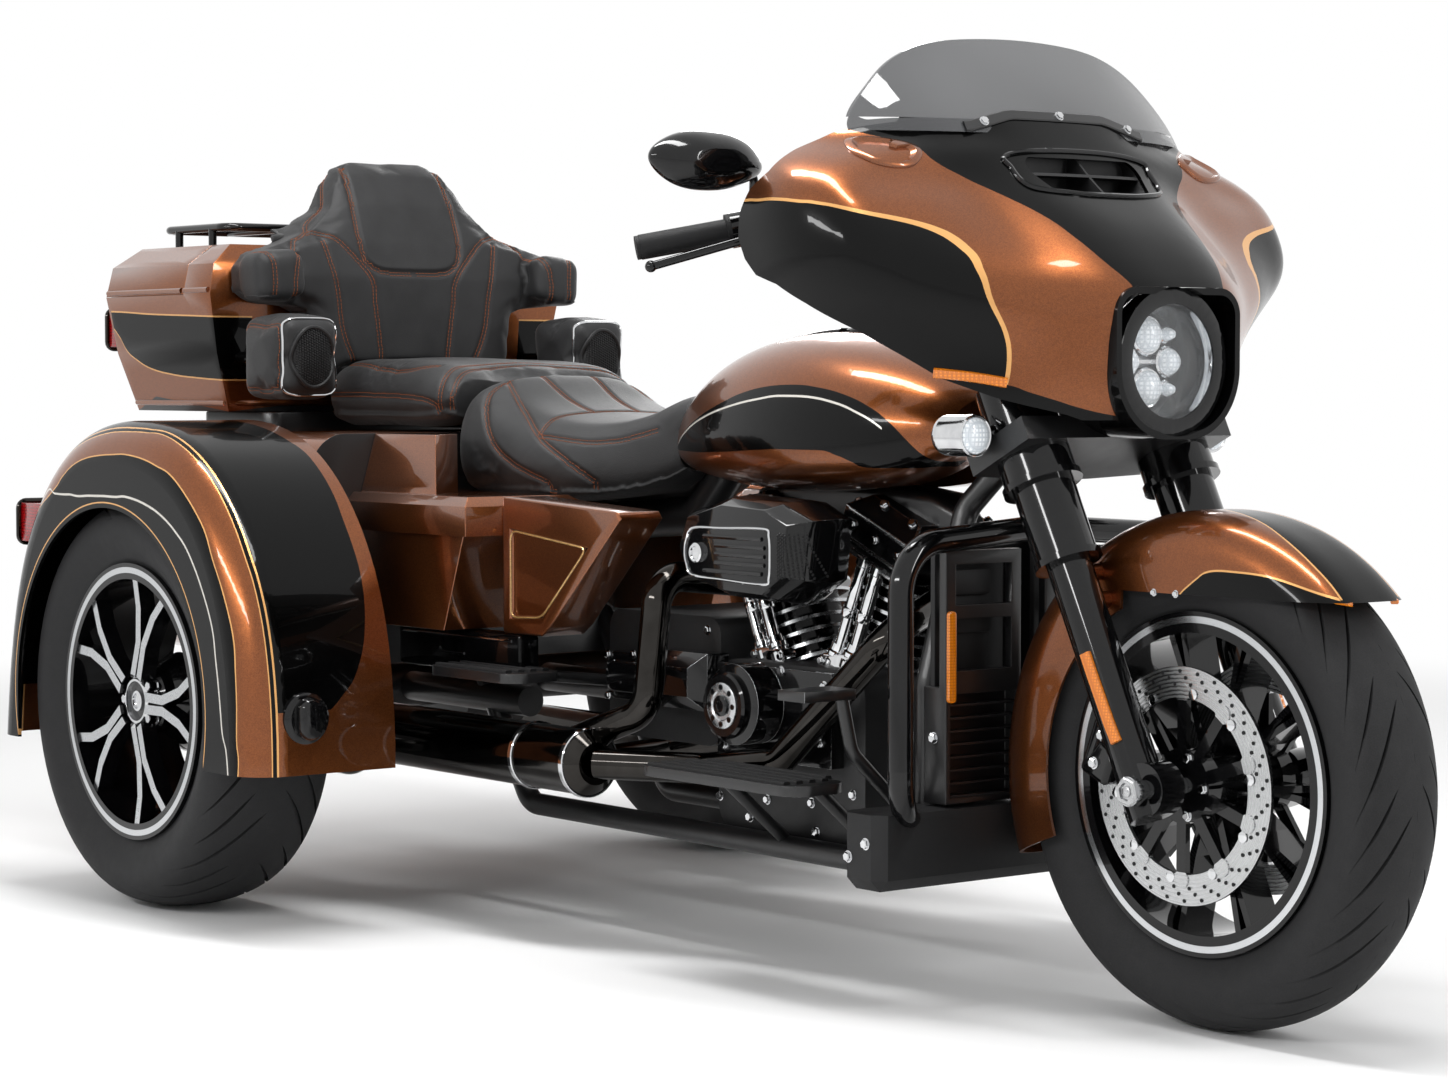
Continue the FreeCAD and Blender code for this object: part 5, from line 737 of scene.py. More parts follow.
# Soft goods: each solid is wrapped, filled by a cloth simulation and then sewn. Seams are (depth in mm, path)
softGoods = {
    "rider_seat": {"voxelMm": 6, "shrinkMm": 5, "capMm": 9, "fill": 0.85, "seams": [
        (4, [(-432, 0, 838), (-431, -60, 836), (-427, -115, 827), (-418, -152, 810), (-400, -178, 786),
             (-378, -193, 755), (-349, -201, 726), (-297, -205, 698), (-238, -200, 672), (-201, -185, 650)]),
        (3, [(-427, -112, 827), (-384, -125, 800), (-335, -140, 774), (-265, -162, 737), (-199, -180, 716),
             (-156, -180, 688), (-127, -170, 660)]),
        (2.5, [(-265, -162, 737), (-182, -148, 733), (-123, -134, 740), (-87, -117, 747), (-52, -104, 755)]),
        (2.5, [(-430, -48, 838), (-392, -48, 816), (-329, -45, 786), (-290, -43, 752)]),
        (2.5, [(-290, 0, 752), (-290, -43, 752), (-285, -100, 748), (-265, -162, 737)])]},
    "passenger_seat": {"voxelMm": 6, "shrinkMm": 5, "capMm": 9, "fill": 0.85, "seams": [
        (3, [(-860, -200, 800), (-734, -209, 802), (-678, -207, 801), (-583, -209, 798), (-524, -207, 789),
             (-500, -195, 765)]),
        (3, [(-532, 0, 846), (-527, -69, 843), (-505, -139, 836), (-478, -183, 809), (-478, -190, 773)]),
        (2, [(-556, 0, 846), (-551, -69, 844), (-530, -139, 837), (-503, -190, 812), (-500, -205, 773)]),
        (2.5, [(-840, -150, 846), (-705, -172, 846), (-624, -176, 842), (-556, -150, 840)])]},
    "backrest": {"voxelMm": 6, "shrinkMm": 5, "capMm": 10, "fill": 0.8, "seams": [
        (5, [(-960, -92, 1200), (-944, -95, 1183), (-920, -97, 1139), (-901, -100, 1096), (-884, -98, 1047),
             (-877, -88, 1020), (-874, -59, 1007), (-875, 0, 1005)]),
        (3, [(-900, -202, 1084), (-889, -150, 1063), (-880, -118, 1035), (-872, -84, 993), (-872, -78, 950),
             (-872, -70, 893), (-872, -66, 850)]),
        (3, [(-991, -121, 1184), (-948, -153, 1125), (-932, -182, 1095), (-893, -215, 1078), (-865, -242, 1046),
             (-824, -250, 1017), (-820, -256, 988), (-837, -256, 952)]),
        (2.5, [(-888, -172, 1060), (-880, -165, 1030), (-872, -152, 973), (-872, -142, 907), (-872, -118, 850)]),
        (3, [(-900, -310, 1048), (-850, -306, 1049), (-822, -300, 1030), (-819, -296, 994), (-821, -296, 955)])]},
    "speaker_pods": {"voxelMm": 5, "shrinkMm": 3, "capMm": 6, "fill": 0.9, "seams": [
        (3, [(x, -345, z) for x, z in (
            (-858, 862), (-854, 905), (-840, 920), (-760, 920), (-740, 905), (-736, 862), (-742, 820), (-756, 805),
            (-840, 805), (-854, 820), (-858, 862))])]},
}
cloth = {"pressure": 4.0, "frames": 20, "stiffness": 15, "bending": 0.6, "mass": 0.3, "quality": 4, "restShare": 0.3}
sewing = {"pullMm": 9, "dotMm": 1.5, "rowMm": 3.4, "lengthMm": 4.4, "gapMm": 1.8, "radiusMm": 0.55, "startMm": 2.0}


def evaluatedCopy(piece):
    bpy.context.view_layer.update()
    seen = piece.evaluated_get(bpy.context.evaluated_depsgraph_get())
    return bpy.data.meshes.new_from_object(seen)


def applyModifier(piece, kind, settings):
    modifier = piece.modifiers.new(kind.lower(), kind)
    for key, value in settings.items():
        setattr(modifier, key, value)
    mesh = evaluatedCopy(piece)
    piece.modifiers.remove(modifier)
    piece.data = mesh


# The filling pushes the cover out; how far each point may go is capped, less so where it rests below
def fillCover(piece, soft):
    start = [vertex.co.copy() for vertex in piece.data.vertices]
    below = [vertex.normal.z < -0.6 for vertex in piece.data.vertices]
    modifier = piece.modifiers.new("filling", "CLOTH")
    settings = modifier.settings
    settings.quality = cloth["quality"]
    settings.mass = cloth["mass"]
    settings.tension_stiffness = settings.compression_stiffness = cloth["stiffness"]
    settings.bending_stiffness = cloth["bending"]
    settings.use_pressure = True
    settings.uniform_pressure_force = cloth["pressure"]
    settings.effector_weights.gravity = 0
    modifier.collision_settings.use_collision = False
    modifier.point_cache.frame_start, modifier.point_cache.frame_end = 1, cloth["frames"]
    for frameNumber in range(1, cloth["frames"] + 1):
        bpy.context.scene.frame_set(frameNumber)
    filled = evaluatedCopy(piece)
    piece.modifiers.remove(modifier)
    bpy.context.scene.frame_set(1)
    for vertex, was, under in zip(filled.vertices, start, below):
        move = vertex.co - was
        cap = soft["capMm"] * mm * (cloth["restShare"] if under else 1.0)
        if move.length > cap:
            vertex.co = was + move * (cap / move.length)
    piece.data = filled


# Seams are pulled in after the filling, finest next to the thread
def sewSeams(piece, soft):
    tree = meshTree(piece)
    dots, sewn = [], []
    for deep, path in soft["seams"]:
        for line in (path, [(x, -y, z) for x, y, z in path]):
            line = placesOf(nearSurface(tree, smoothPath(line, 10)))
            sewn.append(line)
            for a, b in zip(line, line[1:]):
                steps = max(1, int((b - a).length / sewing["dotMm"]))
                dots += [(a.lerp(b, k / steps), deep) for k in range(steps)]
    finder = KDTree(len(dots))
    for index, (dot, deep) in enumerate(dots):
        finder.insert(dot, index)
    finder.balance()
    for vertex, normal in [(v, v.normal.copy()) for v in piece.data.vertices]:
        place, index, distance = finder.find(vertex.co / mm)
        if distance < sewing["pullMm"]:
            vertex.co -= normal * dots[index][1] * mm * (1 - (distance / sewing["pullMm"]) ** 2) ** 2
    return sewn


# Twin rows of thread, one on each side of the seam
def stitchRows(lines, tree, name):
    shape = Shape()
    for line in lines:
        lengths = [0.0]
        for a, b in zip(line, line[1:]):
            lengths.append(lengths[-1] + (b - a).length)

        def at(distance):
            for i in range(1, len(lengths)):
                if distance <= lengths[i] and lengths[i] > lengths[i - 1]:
                    share = (distance - lengths[i - 1]) / (lengths[i] - lengths[i - 1])
                    return line[i - 1].lerp(line[i], share), (line[i] - line[i - 1]).normalized()
            return line[-1], (line[-1] - line[-2]).normalized()

        distance = sewing["startMm"]
        while distance + sewing["lengthMm"] < lengths[-1]:
            ends = [at(distance), at(distance + sewing["lengthMm"])]
            for side in (-1, 1):
                places = []
                for place, along in ends:
                    near, normal, index, gap = tree.find_nearest(place)
                    over = near + normal.cross(along) * side * sewing["rowMm"]
                    near, normal, index, gap = tree.find_nearest(over)
                    places.append(near + normal * 0.1)
                middle = (places[0] + places[1]) / 2 + normal * sewing["radiusMm"]
                addTube(shape, [places[0], middle, places[1]], sewing["radiusMm"], 4)
            distance += sewing["lengthMm"] + sewing["gapMm"]
    makePiece(shape, name, "thread", sharpDeg=80)


def buildSoftGoods():
    for nodeName, soft in softGoods.items():
        mesh = nodes[nodeName].data.copy()
        mesh.transform(nodes[nodeName].matrix_world)
        mesh.materials.clear()
        mesh.materials.append(looks["leather"])
        piece = bpy.data.objects.new("soft_" + nodeName, mesh)
        bpy.context.scene.collection.objects.link(piece)
        applyModifier(piece, "REMESH", {"mode": "VOXEL", "voxel_size": soft["voxelMm"] * mm})
        applyModifier(piece, "SMOOTH", {"factor": 0.5, "iterations": 4})
        for vertex, normal in [(v, v.normal.copy()) for v in piece.data.vertices]:
            vertex.co -= normal * soft["shrinkMm"] * mm
        fillCover(piece, soft)
        applyModifier(piece, "SUBSURF", {"levels": 1, "render_levels": 1})
        sewn = sewSeams(piece, soft)
        piece.data.shade_smooth()
        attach(piece, "chassis")
        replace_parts(piece, nodeName)
        stitchRows(sewn, meshTree(piece), "thread_" + nodeName)
        print("filled and sewn", nodeName, len(piece.data.vertices))


buildSoftGoods()


# Worn or turned edges on the carried-over solids, in mm; a bright edge is bare metal
edges = {"body_steps": 5, "side_covers": 4, "rear_body": 4, "tour_pack_tub": 5, "tour_pack_lid": 7,
         "trunk_door": 2.5, "engine_block": 3, "air_cleaner": 2.5, "radiators": 1.5, "lower_cover": 5,
         "calipers": 3, "dash": 2, "tail_lamps": 3, "headlamp": 1}
brightEdges = {"rocker_covers": 2.6, "engine_covers": 1.8, "footboards": 1.2, "pedals": 1.2}
for nodeName, width in {**edges, **brightEdges}.items():
    node = nodes[nodeName]
    for polygon in node.data.polygons:
        polygon.use_smooth = True
    node.modifiers.new("weld", "WELD").merge_threshold = 0.00002
    bevel = node.modifiers.new("edge", "BEVEL")
    bevel.width, bevel.segments = width * mm, 3
    bevel.limit_method, bevel.angle_limit = "ANGLE", math.radians(32)
    bevel.harden_normals = True
    if nodeName in brightEdges:
        node.data.materials.append(looks["machined"])
        bevel.material = len(node.data.materials) - 1

# The cylinders lean both ways from the crank; the rims of their fins are turned bright
crank, leanDeg = Vector((290, 0, 230)), 22.5


def cylinderAxis(lean):
    return Vector((math.sin(math.radians(leanDeg)) * lean, 0, math.cos(math.radians(leanDeg))))


def onRim(place, normal, lean):
    arm, axis = place - crank, cylinderAxis(lean)
    across = (arm - axis * arm.dot(axis)).length
    return abs(normal.dot(axis)) < 0.2 and across > 62 and arm.x * lean > 0


for lean in (1, -1):
    faceLook("cylinders", "machined", lambda c, n: onRim(c, n, lean))


# Flat ring or dome laid on a surface: loops of the outline shrink towards the middle and rise
def addDome(shape, tree, loop, lifts, direction=None):
    middle = sum((Vector(p) for p in loop), Vector()) / len(loop)
    rings = []
    for share, lift in lifts:
        ring = [middle.lerp(Vector(p), share) for p in loop]
        laid = drape(tree, ring, direction, lift) if direction else nearSurface(tree, ring, lift)
        if len(laid) == len(loop):
            rings.append(placesOf(laid))
    addRings(shape, rings)


def ellipse(middle, across, up, wide, high):
    across, up = Vector(across), Vector(up)
    return [Vector(middle) + across * wide * math.cos(t) + up * high * math.sin(t) for t in turns(40)]


def addStrip(shape, places, wide, thick):
    rings = []
    for i, (place, normal) in enumerate(places):
        ahead = places[min(i + 1, len(places) - 1)][0] - places[max(i - 1, 0)][0]
        side = normal.cross(ahead).normalized() * wide / 2
        rings.append([place - side - normal, place - side + normal * thick * 0.6, place - side * 0.8 + normal * thick,
                      place + side * 0.8 + normal * thick, place + side + normal * thick * 0.6, place + side - normal])
    addRings(shape, rings)


# One piece in one call; each part is an adding function with its values after the shape
def build(name, look, *parts, body="chassis", mirrored=False):
    shape = Shape()
    for add, *values in parts:
        add(shape, *values)
    makePiece(shape, name, look, body, mirrored)


# Spots of the side view, taken out to the right of the trike
def outRight(spots):
    return [(x, -400, z) for x, z in spots]


# The windshield comes out of the fairing at a height of its own on each side of the middle
screenFoot = {"ys": range(-290, 291, 10), "fromX": 1200, "low": 1140, "high": 1200, "step": 1.5, "above": 6,
              "screws": (3, 16, 29, 42, 55), "screwRadius": 5.5, "wide": 15, "thick": 3.5}
fairingTree = meshTree("fairing")


def screenFeet(screen):
    heights = []
    for y in screenFoot["ys"]:
        z = screenFoot["low"]
        while z < screenFoot["high"]:
            sheet, shell = [tree.ray_cast(Vector((screenFoot["fromX"], y, z)), Vector(rearward))
                            for tree in (screen, fairingTree)]
            if sheet[0] is not None and (shell[0] is None or shell[3] > sheet[3]):
                break
            z += screenFoot["step"]
        heights.append(z)
    feet = []
    for i, y in enumerate(screenFoot["ys"]):
        around = heights[max(0, i - 3):i + 4]
        feet.append((screenFoot["fromX"], y, sum(around) / len(around) + screenFoot["above"]))
    return feet


fairingTrim = {
    "oval": [(646, -316, 1136), (674, -331, 1118), (701, -321, 1105), (714, -289, 1098), (717, -258, 1102),
             (706, -236, 1121), (688, -249, 1133), (664, -281, 1139)],
    "ovalRise": [(1.0, -1), (0.98, 2), (0.93, 3.6), (0.8, 4.6), (0.4, 5)],
    "marker": [(774, -276, 836), (798, -246, 832), (816, -224, 828), (836, -205, 823)], "markerFrom": (-0.5, 0.85, 0),
    "vent": [(741, -118, 1119), (738, 0, 1122), (741, 118, 1119), (760, 126, 1104), (787, 116, 1076),
             (806, 60, 1066), (810, 0, 1064), (806, -60, 1066), (787, -116, 1076), (760, -126, 1104)],
    "ventFrom": (-0.8, 0, -0.6)}


def dressFairing():
    screen = meshTree("windshield")
    feet = screenFeet(screen)
    foot = drape(screen, feet, rearward, 0.5)
    build("windshield_base_strip", "powder", (addStrip, foot, screenFoot["wide"], screenFoot["thick"]),
          body="steering")
    spots = [feet[i] for i in screenFoot["screws"]]
    build("windshield_screws", "chrome", (addScrewsOn, screen, spots, rearward, screenFoot["screwRadius"], 4, True),
          body="steering")
    oval = smoothPath(fairingTrim["oval"], 6, closed=True)
    build("fairing_raised_oval", "copper", (addDome, fairingTree, oval, fairingTrim["ovalRise"]),
          body="steering", mirrored=True)
    marker = drape(fairingTree, smoothPath(fairingTrim["marker"], 6), fairingTrim["markerFrom"], 1)
    build("fairing_marker_lenses", "amberLens", (addStrip, marker, 13, 5), body="steering", mirrored=True)
    vent = drape(meshTree("fairing", "fairing_vent"), smoothPath(fairingTrim["vent"], 8, closed=True),
                 fairingTrim["ventFrom"], 1.2)
    build("vent_trim", "glossMetal", (addTube, placesOf(vent), 3.4, 8, True), body="steering")


headlamp = {
    "height": 850,
    "reflector": [(0, 10), (2, 58), (26, 63), (50, 71), (58, 73.5), (50, 72), (24, 65), (1, 60)],
    "ring": [(0, 76), (9, 79), (12, 77), (12, 74), (4, 72.5), (0, 72.5), (0, 76)],
    "eyes": ((0, 34, 23), (0, -34, 23), (-38, 0, 18), (38, 0, 18), (-34, 36, 9), (34, 36, 9), (-34, -36, 9),
             (34, -36, 9)),
    "bar": [(-60, -3), (60, -3), (60, 3), (-60, 3)], "barDeep": 34}


def dressHeadlamp():
    height = headlamp["height"]
    build("headlamp_reflector", "bowl", (addTurned, (841, 0, height), xAxis, headlamp["reflector"], 48),
          body="steering")
    build("headlamp_ring", "chrome", (addTurned, (913, 0, height), xAxis, headlamp["ring"], 64), body="steering")
    eyes, cups = Shape(), Shape()
    for y, z, radius in headlamp["eyes"]:
        addTurned(cups, (842, y, height + z), xAxis, [
            (0, radius + 4), (38, radius + 4), (40, radius + 2), (40, radius), (30, radius)], 28)
        addTurned(eyes, (866, y, height + z), xAxis, [
            (0, radius), (14, radius), (22, radius * 0.86), (28, radius * 0.55), (31, 0.2)], 28)
    addPlate(cups, (843, 0, height), yAxis, zAxis, headlamp["bar"], headlamp["barDeep"])
    makePiece(cups, "headlamp_cups", "chrome", "steering")
    makePiece(eyes, "headlamp_projectors", "glassEye", "steering")


wheelHardware = {
    "nutOut": 606, "nutCircle": 43, "capOut": 614,
    "cap": [(0, 37), (7, 37), (10, 34.5), (10, 31), (5, 30), (0, 30), (0, 37)],
    "hub": [(0, 16), (8, 16), (9, 14), (9, 12), (6, 11), (6, 0.2)],
    # countersunk, since the caliper passes 1 mm from them
    "discOut": 79, "discBolt": [(-0.5, 7), (0.3, 7), (0.5, 6), (0.5, 0.2)], "discCircle": 118, "hubCircle": 38,
    "drillOut": 78.1, "drilling": [(0, 2.6), (0.25, 2.6)], "drillCircles": (129, 137, 145)}


def dressWheelHardware():
    values = wheelHardware
    for side, wheel in ((-1, "rear_right"), (1, "rear_left")):
        outward = (0, side, 0)
        nuts = circleSpots((rearAxle.x, side * values["nutOut"], rearAxle.z), values["nutCircle"], 5, 0.5)
        cap = (rearAxle.x, side * values["capOut"], rearAxle.z)
        build("lug_nuts_" + wheel, "chrome", *[(addScrew, nut, outward, 8.5, 16) for nut in nuts],
              body="wheel_" + wheel)
        build("cap_ring_" + wheel, "chrome", (addTurned, cap, outward, values["cap"], 48),
              (addTurned, cap, outward, values["hub"], 36), body="wheel_" + wheel)
    bolts, pins = Shape(), Shape()
    for side in (-1, 1):
        outward, disc = (0, side, 0), (frontAxle.x, side * values["discOut"], frontAxle.z)
        for spot in circleSpots(disc, values["discCircle"], 10, 0.25):
            addTurned(bolts, spot, outward, values["discBolt"], 16)
        for spot in circleSpots(disc, values["hubCircle"], 5):
            addScrew(bolts, spot, outward, 6)
        for row, radius in enumerate(values["drillCircles"]):
            for spot in circleSpots((frontAxle.x, side * values["drillOut"], frontAxle.z), radius, 30, row / 3):
                addTurned(pins, spot, outward, values["drilling"], 10)
    makePiece(bolts, "disc_bolts", "chrome", "wheel_front")
    makePiece(pins, "disc_drillings", "rubber", "wheel_front")


forkTrim = {
    "reflector": [(938, -190, 485), (950, -190, 460), (967, -190, 430), (982, -190, 402), (996, -190, 378)],
    "tip": [(1214, 64, 572), (1235, 58, 566), (1254, 50, 561), (1268, 38, 558)],
    "caliperScrews": [(885, 400), (905, 372), (890, 335), (935, 390), (950, 360)],
    "fenderScrews": [(978, -130, 559), (1017, -130, 561), (925, -130, 520)],
    "nut": [(0, 19), (4, 19), (6, 17), (6, 12), (3, 11), (3, 0.2)], "pin": [(0, 7), (3, 7), (4, 5.5), (4, 0.2)]}


def dressFork():
    reflector = nearSurface(meshTree("fork_tubes"), forkTrim["reflector"], 1)
    build("fork_side_reflectors", "amberLens", (addStrip, reflector, 15, 5), body="steering", mirrored=True)
    fender = meshTree("front_fender")
    tips = [nearSurface(fender, [(x, side * y, z) for x, y, z in forkTrim["tip"]], 0.5) for side in (-1, 1)]
    build("fender_tip_lenses", "amberLens", *[(addStrip, tip, 10, 4) for tip in tips], body="steering")
    build("axle_nuts", "steelDisc", (addTurned, (frontAxle.x, -172, frontAxle.z), right, forkTrim["nut"], 6),
          (addTurned, (frontAxle.x, -174, frontAxle.z), right, forkTrim["pin"], 20), body="steering", mirrored=True)
    build("front_end_bolts", "chrome",
          (addScrewsOn, meshTree("calipers"), outRight(forkTrim["caliperScrews"]), yAxis, 6.5),
          *[(addScrew, place, normal, 4) for place, normal in nearSurface(fender, forkTrim["fenderScrews"], 0.3)],
          body="steering", mirrored=True)


camCover = {
    "x": 234, "z": 364, "boss": [(0, 48), (9, 48), (12, 44), (12, 0.2)], "studCircle": 26.5,
    "ring": [(0, 33), (2.5, 33), (3.5, 31), (3.5, 22), (2, 20), (2, 0.2)],
    "stud": [(0, 4.2), (2.2, 4.2), (2.2, 0.2)], "hub": [(0, 15), (5, 15), (6, 13), (6, 8), (5, 7), (5, 0.2)]}
engineScrews = {
    "gear": [(-116, 412), (12, 412), (-116, 350), (12, 350), (-52, 416)],
    "right": [(170, 300), (290, 300), (385, 320), (395, 400), (300, 415), (175, 410), (430, 250), (430, 450),
              (330, 460), (100, 460), (60, 250), (-20, 240), (-100, 250), (130, 220), (240, 225), (340, 230),
              (-120, 300), (140, 440)],
    "left": [(-100, 250), (30, 232), (150, 232), (300, 240), (400, 300), (400, 400), (300, 450), (150, 450),
             (0, 440), (-110, 400)],
    "heads": [(x, y, 900) for x in (385, 440, 500, 195, 140, 80) for y in (-70, 70)],
    "low": [(60, 200), (200, 196), (350, 190), (470, 200), (-60, 200), (560, 250), (645, 500), (645, 350),
            (620, 200), (655, 220), (520, 300), (480, 260), (-240, 300), (-330, 330)]}
pushrods = {
    "ends": [((197, -85, 426), (132, -85, 566)), ((232, -85, 426), (161, -85, 578)),
             ((348, -85, 426), (419, -85, 578)), ((383, -85, 426), (448, -85, 566))],
    "foot": [(-4, 15), (8, 15), (10, 13), (14, 13), (16, 15), (22, 15), (24, 12), (34, 11)],
    "head": [(-2, 13), (10, 13), (12, 11), (24, 10.5)], "middle": [(-8, 11), (-6, 12), (6, 12), (8, 11)]}
# Each flange is its distance from the crank, its height and its thickness
rockers = {"flanges": [(372, 9, 3.5), (386, 5, 2.5), (424, 5, 2.5)], "wide": 134, "flangeOut": 91.5,
           "screwFar": 405, "screwOut": 92, "screwAcross": (-52, 0, 52)}
# Tray sections: x, half of the width, low and high
tray = [(80, 20, 606, 640), (120, 40, 596, 668), (200, 48, 585, 676), (300, 50, 585, 680), (420, 48, 585, 676),
        (500, 40, 600, 668), (548, 18, 612, 640)]
exhaustBands = [(34, -290, 272, 50), (-96, -290, 272, 49.5), (-1000, -290, 222, 34.5), (-1138, -290, 222, 34.5)]


def dressEngine():
    castings, cap, bolts, collars = Shape(), Shape(), Shape(), Shape()
    x, z = camCover["x"], camCover["z"]
    addTurned(castings, (x, -184, z), right, camCover["boss"], 56)
    addTurned(cap, (x, -195, z), right, camCover["ring"], 48)
    for spot in circleSpots((x, -197, z), camCover["studCircle"], 8):
        addTurned(castings, spot, right, camCover["stud"], 14)
    addTurned(castings, (x, -195, z), right, camCover["hub"], 32)
    # gear cover and its raised panel
    addPanel(castings, (-52, -115, 382), xAxis, zAxis, 140, 74, 22, 26, 4)
    addPanel(castings, (-52, -139, 382), xAxis, zAxis, 112, 48, 18, 14, 5)
    for x, z in engineScrews["gear"]:
        addScrew(bolts, (x, -141, z), right, 5.5)
    sideTree = meshTree("engine_covers", "engine_block")
    addScrewsOn(bolts, sideTree, outRight(engineScrews["right"]), yAxis, 6)
    addScrewsOn(bolts, sideTree, [(x, 400, z) for x, z in engineScrews["left"]], right, 6)
    addScrewsOn(bolts, meshTree("rocker_covers"), engineScrews["heads"], downward, 6, 0.3, True)
    for low, high in pushrods["ends"]:
        low, high = Vector(low), Vector(high)
        axis = (high - low).normalized()
        addTurned(collars, low, axis, pushrods["foot"], 24)
        addTurned(collars, high, -axis, pushrods["head"], 24)
        addTurned(collars, low.lerp(high, 0.5), axis, pushrods["middle"], 24)
    bars, blocks = Shape(), Shape()
    for lean in (1, -1):
        axis = cylinderAxis(lean)
        across = Vector((axis.z * lean, 0, -axis.x * lean))
        for far, high, thick in rockers["flanges"]:
            for side in (-1, 1):
                addPlate(bars, crank + axis * far + Vector((0, side * rockers["flangeOut"], 0)), across * side * -lean,
                         axis, roundedOutline(rockers["wide"], high, high * 0.4, 3), thick, 0.8)
        for k in rockers["screwAcross"]:
            for side in (-1, 1):
                middle = crank + Vector((0, side * rockers["screwOut"], 0))
                addScrew(bolts, middle + axis * rockers["screwFar"] + across * k, (0, side, 0), 5.5)
    for x in (214, 366):
        addPanel(blocks, (x, -74, 424), xAxis, zAxis, 74, 34, 12, 24, 3)
        for k in (-30, 30):
            addScrew(bolts, (x + k, -98, 430), right, 5)
    makePiece(bars, "rocker_cover_flanges", "machined")
    makePiece(blocks, "lifter_blocks", "chrome")
    lowTree = meshTree("frame", "engine_block", "footboards", "lower_cover", "radiators")
    for x, z in engineScrews["low"]:
        for side in (-1, 1):
            addScrewsOn(bolts, lowTree, [(x, side * 400, z)], (0, -side, 0), 6.5)
    build("intake_and_wiring_tray", "powder", (addRings, [
        [Vector((x, y, (low + high) / 2 + z))
         for y, z in roundedOutline(2 * half, high - low, min(half, 14) * 0.9)] for x, half, low, high in tray]))
    for x, y, z, radius in exhaustBands:
        addTurned(bolts, (x, y, z), xAxis, [
            (0, radius - 2), (0, radius), (1.5, radius + 1.2), (8.5, radius + 1.2), (10, radius), (10, radius - 2),
            (0, radius - 2)], 40)
    makePiece(collars, "pushrod_collars", "chrome")
    makePiece(castings, "engine_side_castings", "glossMetal")
    makePiece(cap, "cam_cover_ring", "machined")
    makePiece(bolts, "engine_bolts", "chrome")


airCleaner = {
    "ribs": (560, 572, 584, 596, 608), "middle": 584, "boss": [(0, 14), (5, 14), (7, 12), (7, 9), (5, 8), (5, 0.2)],
    "loop": [(236, 552), (222, 568), (218, 584), (222, 602), (236, 618), (300, 620), (396, 622), (408, 612),
             (410, 584), (408, 556), (396, 546), (300, 549)],
    "hole": [(0, 2.3), (1.2, 1.7), (1.6, 0.2)], "columns": 10, "rows": 13}


def dressAirCleaner():
    tree = meshTree("air_cleaner")
    ribs, rim, net = Shape(), Shape(), Shape()
    for z in airCleaner["ribs"]:
        start = 288 if abs(z - airCleaner["middle"]) < 20 else 262
        addTube(ribs, placesOf(drape(tree, outRight([(x, z) for x in range(start, 400, 10)]), yAxis)), 3.2)
    loop = smoothPath(outRight(airCleaner["loop"]), 5, closed=True)
    addTube(rim, placesOf(drape(tree, loop, yAxis, 0.3)), 2.0, closed=True)
    addTurned(rim, drape(tree, outRight([(248, airCleaner["middle"])]), yAxis)[0][0], right, airCleaner["boss"], 28)
    for column in range(airCleaner["columns"]):
        spots = [(426 + column * 4.0, 556 + row * 4.8 + (column % 2) * 2.4) for row in range(airCleaner["rows"])]
        for place, normal in drape(tree, outRight(spots), yAxis):
            addTurned(net, place, normal, airCleaner["hole"], 6)
    makePiece(ribs, "air_cleaner_ribs", "glossMetal")
    makePiece(rim, "air_cleaner_trim", "chrome")
    makePiece(net, "air_cleaner_mesh", "plastic")


# Rows of rubber on the boards: the y of the rows, the x along them, the start above and the lowest place kept
boardRows = [(range(-338, -196, 22), range(255, 566, 20), 500, 225),
             (range(-355, -196, 22), range(-256, -52, 17), 600, 380)]
passingLamps = {"y": 217, "z": 755, "lens": [(0, 23), (5, 23), (9, 18), (11, 10), (12, 0.2)],
                "rim": [(0, 27.6), (9, 27.6), (11, 25.5), (10, 23), (0, 23), (0, 27.6)]}


def dressFloor():
    pads, boards = Shape(), meshTree("footboards")
    for rows, along, above, lowest in boardRows:
        for y in rows:
            places = [pair for pair in drape(boards, [(x, y, above) for x in along], downward) if pair[0].z > lowest]
            if len(places) > 3:
                addStrip(pads, places, 11, 4)
    makePiece(pads, "footboard_treads", "rubber", mirrored=True)
    build("radiator_backing", "plastic", (addPanel, (630, -90, 440), yAxis, zAxis, 124, 312, 6, 8, 1.5),
          *[(addPanel, (638, -90, z), yAxis, zAxis, 66, 34, 6, 7, 1.5) for z in (505, 556)], mirrored=True)
    build("radiator_shield", "plastic", (addPanel, (586, 0, 455), yAxis, zAxis, 200, 316, 12, 6, 1))
    build("side_marker_strips", "amberLens", (addPanel, (667, -150, 459), yAxis, zAxis, 13, 122, 5, 6, 1.5),
          mirrored=True)
    y, z = passingLamps["y"], passingLamps["z"]
    for name, look, x, profile, sides in (("lenses", "glassEye", 786, "lens", 32), ("rings", "chrome", 780, "rim", 40)):
        build("passing_lamp_" + name, look, *[(addTurned, (x, side * y, z), xAxis, passingLamps[profile], sides)
                                              for side in (-1, 1)], body="steering")


